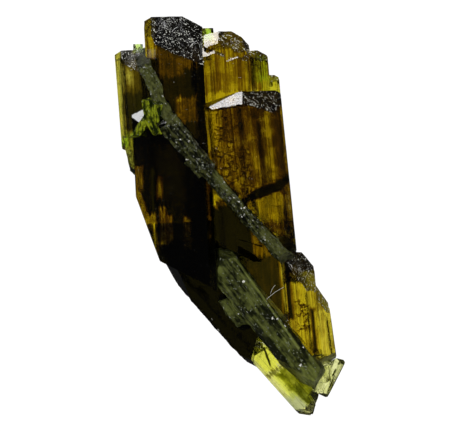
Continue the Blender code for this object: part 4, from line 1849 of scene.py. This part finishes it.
@dataclass
class LowerAmber(Piece):
    """The amber crystal at the lower right: two prisms and a thin edge that grew as one."""

    node: str = "lower_amber"
    slot: str = "amber_crystal"
    main: Crystal = Crystal(
        at=(7.15, -7.4, 5.3),
        lean=5.5,
        sides=((0, 1.6), (50, 2.7), (90, 3.0), (115, 2.9), (180, 1.45), (235, 2.4), (270, 2.9), (320, 2.6)),
        ends=(
            Facet(SLOPED, (7.3, -6.8, 8.2), Face.ETCHED),
            Facet(UNDERCUT, (6.9, -4.0, 5.85), Face.ETCHED),
            Facet((0.7, 0.6, -0.35), (8.1, -4.7, 5.6), Face.ETCHED),
            Facet((-0.7, -0.55, 0.45), (7.7, -12.7, 8.3)),
            Facet((0.2, -1.0, 0.2), (8.8, -14.3, 5.0), Face.BROKEN),
        ),
        striae=Striae(0.4, 0.05, 2.5, 29),
    )
    side: Crystal = Crystal(
        at=(9.4, -10.6, 4.5),
        lean=8.0,
        sides=((0, 0.85), (45, 1.8), (90, 2.0), (180, 1.5), (240, 1.9), (270, 2.2), (320, 1.75)),
        ends=(
            Facet(SLOPED, (9.6, -9.4, 6.5), Face.ETCHED),
            Facet((0.8, 0.55, -0.3), (9.0, -7.85, 4.6)),
            Facet((0.5, -1.0, 0.2), (10.3, -14.0, 4.5), Face.BROKEN),
        ),
        striae=Striae(0.3, 0.05, 4.0, 30),
    )
    sliver: Crystal = Crystal(
        at=(5.72, -7.2, 7.6),
        lean=5.0,
        sides=((0, 0.3), (60, 0.4), (120, 0.3), (180, 0.24), (270, 0.5)),
        ends=(Facet((0.0, 1.0, 0.4), (5.5, -4.6, 7.6)), Facet((0.0, -1.0, 0.4), (5.9, -9.6, 7.6))),
        striae=Striae(0.12, 0.02, 6.0, 31),
    )
    finish: ClearCrystal = ClearCrystal(
        "amber_window",
        5.5,
        AMBER_ABSORBS,
        start=0.8,
        streak=0.3,
        mottle=0.2,
        cracks=0.15,
        etched=(0.35, 0.36, 0.3),
        crackle=(Patch((7.4, -9.9), (0.7, 1.6), 1.0),),
        patches=(
            Patch((6.1, -7.4), (0.4, 2.9), 0.04, ragged=0.2),
            Patch((5.62, -7.1), (0.14, 2.5), 1.3, lean=5.0, soft=0.1, ragged=0.0),
            Patch((7.45, -8.8), (1.0, 3.2), 1.05),
            Patch((8.55, -11.4), (0.24, 2.2), 0.05, ragged=0.2),
            Patch((9.5, -11.8), (0.7, 2.4), 1.05),
        ),
    )


@dataclass
class DarkRoot(Piece):
    """The dark body below, turned to the lower right, with its own flat back."""

    node: str = "dark_root"
    slot: str = "black_crystal"
    main: Crystal = Crystal(
        at=(0.4, -8.4, 3.1),
        lean=41.1,
        sides=((0, 2.5), (50, 3.7), (90, 3.2), (135, 3.85), (180, 3.0), (215, 3.45), (270, 3.1), (325, 3.4)),
        ends=(
            Facet((1.0, -0.3, 0.15), (3.5, -11.8, 3.0)),
            Facet((-0.45, -1.0, 0.1), (0.5, -14.0, 2.0)),
            Facet((-0.5, 1.0, 0.2), (-4.6, -2.4, 3.0), Face.BROKEN),
            Facet((-0.89, -0.45, 0.15), (-5.5, -5.7, 3.0)),
        ),
        striae=Striae(0.3, 0.09, 6.0, 23, ragged=0.1, step=0.2, marks=0.002),
    )
    finish: ClearCrystal = ClearCrystal(
        "root_smoky",
        41.1,
        AMBER_ABSORBS,
        start=0.0,
        smoke=(0.01, 0.011, 0.01),
    )


@dataclass
class TipCrystals(Piece):
    """The yellow green crystals that end the cluster, three grown through each other."""

    node: str = "tip_crystals"
    slot: str = "green_crystal"
    long_tip: Crystal = Crystal(
        at=(5.65, -16.0, 2.7),
        lean=41.8,
        sides=((0, 1.25), (55, 1.9), (95, 1.9), (145, 1.9), (180, 1.5), (235, 2.3), (270, 2.1), (310, 2.2)),
        ends=(
            Facet((0.9, -0.4, 0.25), (8.4, -19.0, 1.6)),
            Facet((-0.1, -1.0, 0.15), (7.4, -19.9, 0.9)),
            Facet((-0.6, 1.0, 0.2), (3.3, -13.2, 2.7)),
        ),
        striae=Striae(0.3, 0.05, 5.0, 33),
    )
    upper_tip: Crystal = Crystal(
        at=(4.2, -14.2, 2.9),
        lean=58.0,
        sides=((0, 0.85), (50, 1.2), (100, 1.25), (180, 0.95), (230, 1.7), (270, 1.5), (310, 1.7)),
        ends=(Facet((-1.0, 0.1, 0.2), (3.15, -14.0, 2.9)), Facet((1.0, -0.4, 0.3), (6.3, -15.4, 2.9))),
        striae=Striae(0.25, 0.04, 6.0, 34),
    )
    end_tip: Crystal = Crystal(
        at=(7.35, -17.9, 3.6),
        lean=30.0,
        sides=((0, 0.7), (60, 0.95), (120, 1.0), (180, 0.9), (240, 1.4), (300, 1.4)),
        ends=(
            Facet((0.9, -0.4, 0.3), (8.5, -18.6, 3.6)),
            Facet((-0.1, -1.0, 0.2), (7.6, -19.5, 3.6)),
            Facet((-0.3, 1.0, 0.3), (6.9, -16.4, 3.6)),
        ),
        striae=Striae(0.25, 0.04, 6.0, 35),
    )
    finish: ClearCrystal = ClearCrystal(
        "tip_green",
        41.8,
        GREEN_ABSORBS,
        start=1.45,
        streak=0.35,
        mottle=0.45,
        deep=(0.25, 0.26, 0.03),
        patches=(
            Patch((4.2, -14.0), (1.5, 1.3), 1.9, tint=(1.0, 1.0, 0.35)),
            Patch((5.75, -16.9), (0.5, 1.6), 1.3, tint=(0.97, 1.0, 0.45)),
            Patch((6.9, -18.5), (1.2, 1.1), 2.4, tint=(0.66, 0.7, 1.0)),
            Patch((6.95, -16.75), (0.95, 2.3), 0.5, lean=47.0, tint=(0.85, 0.87, 0.25)),
            Patch((5.15, -15.1), (1.6, 0.25), 0.35, tint=(0.9, 0.85, 0.8)),
            Patch((3.9, -14.2), (0.12, 1.2), 0.1, soft=0.1, lean=20.0),
        ),
    )


@dataclass
class PaleChips(Piece):
    """The pale clear chips at the lower right edge, grown through each other."""

    node: str = "pale_chips"
    slot: str = "pale_crystal"
    places: tuple[tuple[Point, float, float, float], ...] = (
        ((10.25, -16.15, 2.6), -27.0, 0.6, 2.05),
        ((9.4, -16.3, 2.2), -12.0, 0.6, 1.5),
        ((9.75, -15.3, 3.1), 14.0, 0.6, 1.4),
    )
    finish: ClearCrystal = ClearCrystal(
        "chip_pale", -20.0, (70.0, 60.0, 420.0), start=0.9, streak=0.2, mottle=0.4, deep=(0.4, 0.42, 0.2)
    )

    def crystals(self) -> list[Crystal]:
        """One flat crystal for each (middle, lean, half width, half length).

        Returns:
            The chips, each turned a little more about its own axis than the one before.
        """
        chips = []
        for number, (centre, lean, half, reach) in enumerate(self.places):
            turn = math.radians(lean)
            axis = np.array((-math.sin(turn), math.cos(turn), 0.0))
            top = tuple(np.array(centre) + axis * reach)
            bottom = tuple(np.array(centre) - axis * reach)
            ratios = ((angle, 1.5 if angle % 180 else 1.0) for angle in range(0, 360, 60))
            chips.append(
                Crystal(
                    at=centre,
                    lean=lean,
                    sides=tuple((angle + 9 * number, half * ratio) for angle, ratio in ratios),
                    ends=(
                        Facet((axis[0] + 0.5, axis[1], 0.3), top),
                        Facet((axis[0] - 0.7, axis[1], -0.2), top),
                        Facet((0.4 - axis[0], -axis[1], 0.2), bottom),
                        Facet((-0.6 - axis[0], -axis[1], -0.3), bottom),
                    ),
                    striae=Striae(0.22, 0.03, 6.0, 80 + number),
                )
            )
        return chips


@dataclass
class LintFibres:
    """Pale lint fibres that cling to the front: thin tubes laid over what is under them.

    A path is the drawing's places at a fibre's start, its middle and its end, and above is a
    height over every piece, from which what lies under a place is looked for.
    """

    width: float = 0.035
    above: float = 50.0
    stations: int = 24
    round: int = 6
    paths: tuple[tuple[tuple[float, float], ...], ...] = (
        ((-5.65, 18.4), (-5.45, 18.75), (-5.05, 18.9)),
        ((-3.85, 16.85), (-3.6, 17.3), (-3.15, 17.5)),
        ((3.82, -8.3), (4.5, -7.6), (5.5, -7.1)),
        ((4.2, -7.75), (4.35, -7.2), (4.7, -6.9)),
    )

    def surface(self, place: Numbers, pieces: list[bpy.types.Object]) -> float:
        """The height of the highest piece over a place.

        Args:
            place: The place's x and y in the drawing.
            pieces: The pieces that may lie there.

        Returns:
            The height in the frame's metres, or 0 where no piece lies.
        """
        origin = Vector((*((place + DRAWING_SHIFT[:2]) * MM), self.above * MM))
        heights = [0.0]
        for piece in pieces:
            hit, point, _, _ = piece.ray_cast(origin, Vector((0.0, 0.0, -1.0)))
            if hit:
                heights.append(point.z)
        return max(heights)

    def build(self, pieces: list[bpy.types.Object]) -> bpy.types.Mesh:
        """The fibres' tubes.

        A fibre's middle line is the curve (1 - t)^2 start + 2 t (1 - t) middle + t^2 end, at the
        height of what lies under it or of the straight line between its ends, if that is higher.

        Args:
            pieces: What the fibres lie on.

        Returns:
            One mesh of all the tubes.
        """
        share = np.linspace(0.0, 1.0, self.stations)[:, None]
        around = np.linspace(0.0, 2.0 * np.pi, self.round, endpoint=False)
        points, quads, rings = [], [], []
        for start, middle, end in (np.array(path) for path in self.paths):
            line = (1 - share) ** 2 * start + 2 * share * (1 - share) * middle + share**2 * end
            under = np.array([self.surface(place, pieces) for place in line]) / MM
            height = np.maximum(under, under[0] + (under[-1] - under[0]) * share[:, 0]) + self.width
            side = np.gradient(line, axis=0) @ np.array(((0.0, 1.0), (-1.0, 0.0)))
            side /= np.linalg.norm(side, axis=1, keepdims=True)
            across = self.width / 2 * np.cos(around)[None, :, None] * side[:, None, :]
            flat = line[:, None, :] + across
            rise = height[:, None] + self.width / 2 * np.sin(around)[None, :]
            first = len(points) * self.stations * self.round
            points.append(np.concatenate((flat, rise[..., None]), axis=-1).reshape(-1, 3))
            grid = first + np.arange(self.stations * self.round).reshape(self.stations, self.round)
            turned = np.roll(grid, -1, axis=1)
            quads.append(np.stack((grid[:-1], turned[:-1], turned[1:], grid[1:]), axis=-1).reshape(-1, 4))
            rings += [grid[0][::-1], grid[-1]]
        return mesh_of("lint", np.concatenate(points), np.concatenate(quads), rings)

    def dress(self, mesh: bpy.types.Mesh) -> bpy.types.Object:
        """Give the fibres their material and set them in the frame.

        Args:
            mesh: The built mesh.

        Returns:
            The piece.
        """
        surface, graph = new_material("lint")
        shade = graph.noise(drawing_place(graph), 6.0, 2.0)
        colour = graph.blend(shade, (0.55, 0.56, 0.52), (0.9, 0.9, 0.88))
        graph.show(graph.add("BsdfPrincipled", {"Base Color": colour, "Roughness": 0.6}))
        mesh.materials.clear()
        mesh.materials.append(surface)
        mesh.shade_smooth()
        piece = bpy.data.objects.new("lint_fibres", mesh)
        bpy.context.scene.collection.objects.link(piece)
        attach(piece, BODY)
        return piece


def touches(first: bpy.types.Mesh, second: bpy.types.Mesh) -> bool:
    """Whether the boxes of two meshes meet.

    Args:
        first: One mesh.
        second: The other.

    Returns:
        True where they meet.
    """
    lows, highs = [], []
    for mesh in (first, second):
        points = np.empty(3 * len(mesh.vertices), np.float32)
        mesh.vertices.foreach_get("co", points)
        points = points.reshape(-1, 3)
        lows.append(points.min(0))
        highs.append(points.max(0))
    return bool((lows[0] <= highs[1]).all() and (lows[1] <= highs[0]).all())


@dataclass
class Studio:
    """The floor, the light and the camera. Sizes and places are in millimetres.

    The panel stands behind the heads, where their mirror bright facets show it.
    """

    floor_size: float = 1200.0
    panel_place: Point = (-21.7, 72.7, 4.0)
    panel_size: tuple[float, float] = (60.0, 32.0)
    panel_light: float = 7.0
    world_light: float = 0.015
    ceiling_size: float = 300.0
    ceiling_height: float = 400.0
    ceiling_light: float = 6.0
    camera_height: float = 1005.0
    clip_end: float = 10000.0
    focus_height: float = 5.0

    def floor(self) -> bpy.types.Object:
        """The pale floor, which touches the lowest striae and lights the crystals from below.

        Returns:
            The floor.
        """
        bpy.ops.mesh.primitive_plane_add(size=self.floor_size * MM)
        floor = bpy.context.object
        floor.name = "floor"
        floor.location.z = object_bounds()[0][2]
        surface, graph = new_material("floor")
        grain = graph.noise(graph.add("TexCoord").outputs["Object"], 40.0, 3.0)
        colour = graph.blend(grain, (0.09, 0.09, 0.09), (0.11, 0.11, 0.11))
        white = {"Emission Color": (1.0, 1.0, 1.0), "Emission Strength": 1.0}
        graph.show(graph.add("BsdfPrincipled", {"Base Color": colour, "Roughness": 0.9, **white}))
        floor.data.materials.append(surface)
        floor.visible_glossy = False
        floor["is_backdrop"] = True
        return floor

    def light(self) -> bpy.types.Object:
        """The soft panel, and the even light of the room.

        Returns:
            The panel.
        """
        world = bpy.data.worlds.new("studio")
        world.use_nodes = True
        room = world.node_tree.nodes["Background"]
        room.inputs["Color"].default_value = (*(self.world_light,) * 3, 1.0)
        bpy.context.scene.world = world
        lamp = bpy.data.lights.new("panel", "AREA")
        lamp.shape = "RECTANGLE"
        lamp.size, lamp.size_y = (side * MM for side in self.panel_size)
        lamp.energy = self.panel_light * math.pi * lamp.size * lamp.size_y
        panel = bpy.data.objects.new("panel", lamp)
        bpy.context.scene.collection.objects.link(panel)
        panel.location = Vector(self.panel_place) * MM
        toward = Vector((-self.panel_place[0], -self.panel_place[1], 0.0))
        panel.rotation_euler = toward.to_track_quat("-Z", "Y").to_euler()
        panel.visible_camera = False
        panel.visible_transmission = False
        return panel

    def ceiling(self) -> bpy.types.Object:
        """The soft light overhead, which only rough surfaces catch.

        Returns:
            The light.
        """
        lamp = bpy.data.lights.new("ceiling", "AREA")
        lamp.size = self.ceiling_size * MM
        lamp.energy = self.ceiling_light * math.pi * lamp.size**2
        ceiling = bpy.data.objects.new("ceiling", lamp)
        bpy.context.scene.collection.objects.link(ceiling)
        ceiling.location = (0.0, 0.0, self.ceiling_height * MM)
        ceiling.visible_camera = False
        ceiling.visible_glossy = False
        ceiling.visible_transmission = False
        return ceiling

    def camera(self) -> bpy.types.Object:
        """The camera over the cluster, whose picture is the photograph's frame.

        Returns:
            The camera.
        """
        camera = bpy.data.cameras.new("camera")
        distance = self.camera_height - self.focus_height
        camera.lens = camera.sensor_width * distance / (PHOTO_SIZE[0] * PIXEL)
        camera.clip_end = self.clip_end * MM
        view = bpy.data.objects.new("camera", camera)
        bpy.context.scene.collection.objects.link(view)
        x = (PHOTO_SIZE[0] / 2 - ORIGIN_PIXEL[0]) * PIXEL + DRAWING_SHIFT[0]
        y = (ORIGIN_PIXEL[1] - PHOTO_SIZE[1] / 2) * PIXEL + DRAWING_SHIFT[1]
        view.location = Vector((x, y, self.camera_height)) * MM
        bpy.context.scene.camera = view
        bpy.context.scene.view_settings.view_transform = "Standard"
        return view


def main() -> None:
    """Build every piece and the studio, and log the faces of each piece."""
    logging.basicConfig(level=logging.INFO, format="%(message)s")
    looks = Shared()
    built, pieces = [], []
    for make in (
        CrossBlade,
        AmberPrism,
        BlackPrism,
        TallPrism,
        RightPrisms,
        LeftPrism,
        GreenSplinters,
        FrostedBlade,
        LowerAmber,
        DarkRoot,
        TipCrystals,
        PaleChips,
    ):
        piece = make()
        built.append(piece.build(built))
        pieces.append(piece.dress(built[-1], looks))
        log.info("%s: %d faces", piece.node, len(built[-1].polygons))
    bpy.context.view_layer.update()
    lint = LintFibres()
    pieces.append(lint.dress(lint.build(pieces)))
    log.info("lint: %d fibres", len(lint.paths))
    studio = Studio()
    for part in (studio.floor(), studio.light(), studio.ceiling(), studio.camera()):
        log.info("studio: %s", part.name)
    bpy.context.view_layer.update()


if __name__ == "__main__":
    main()
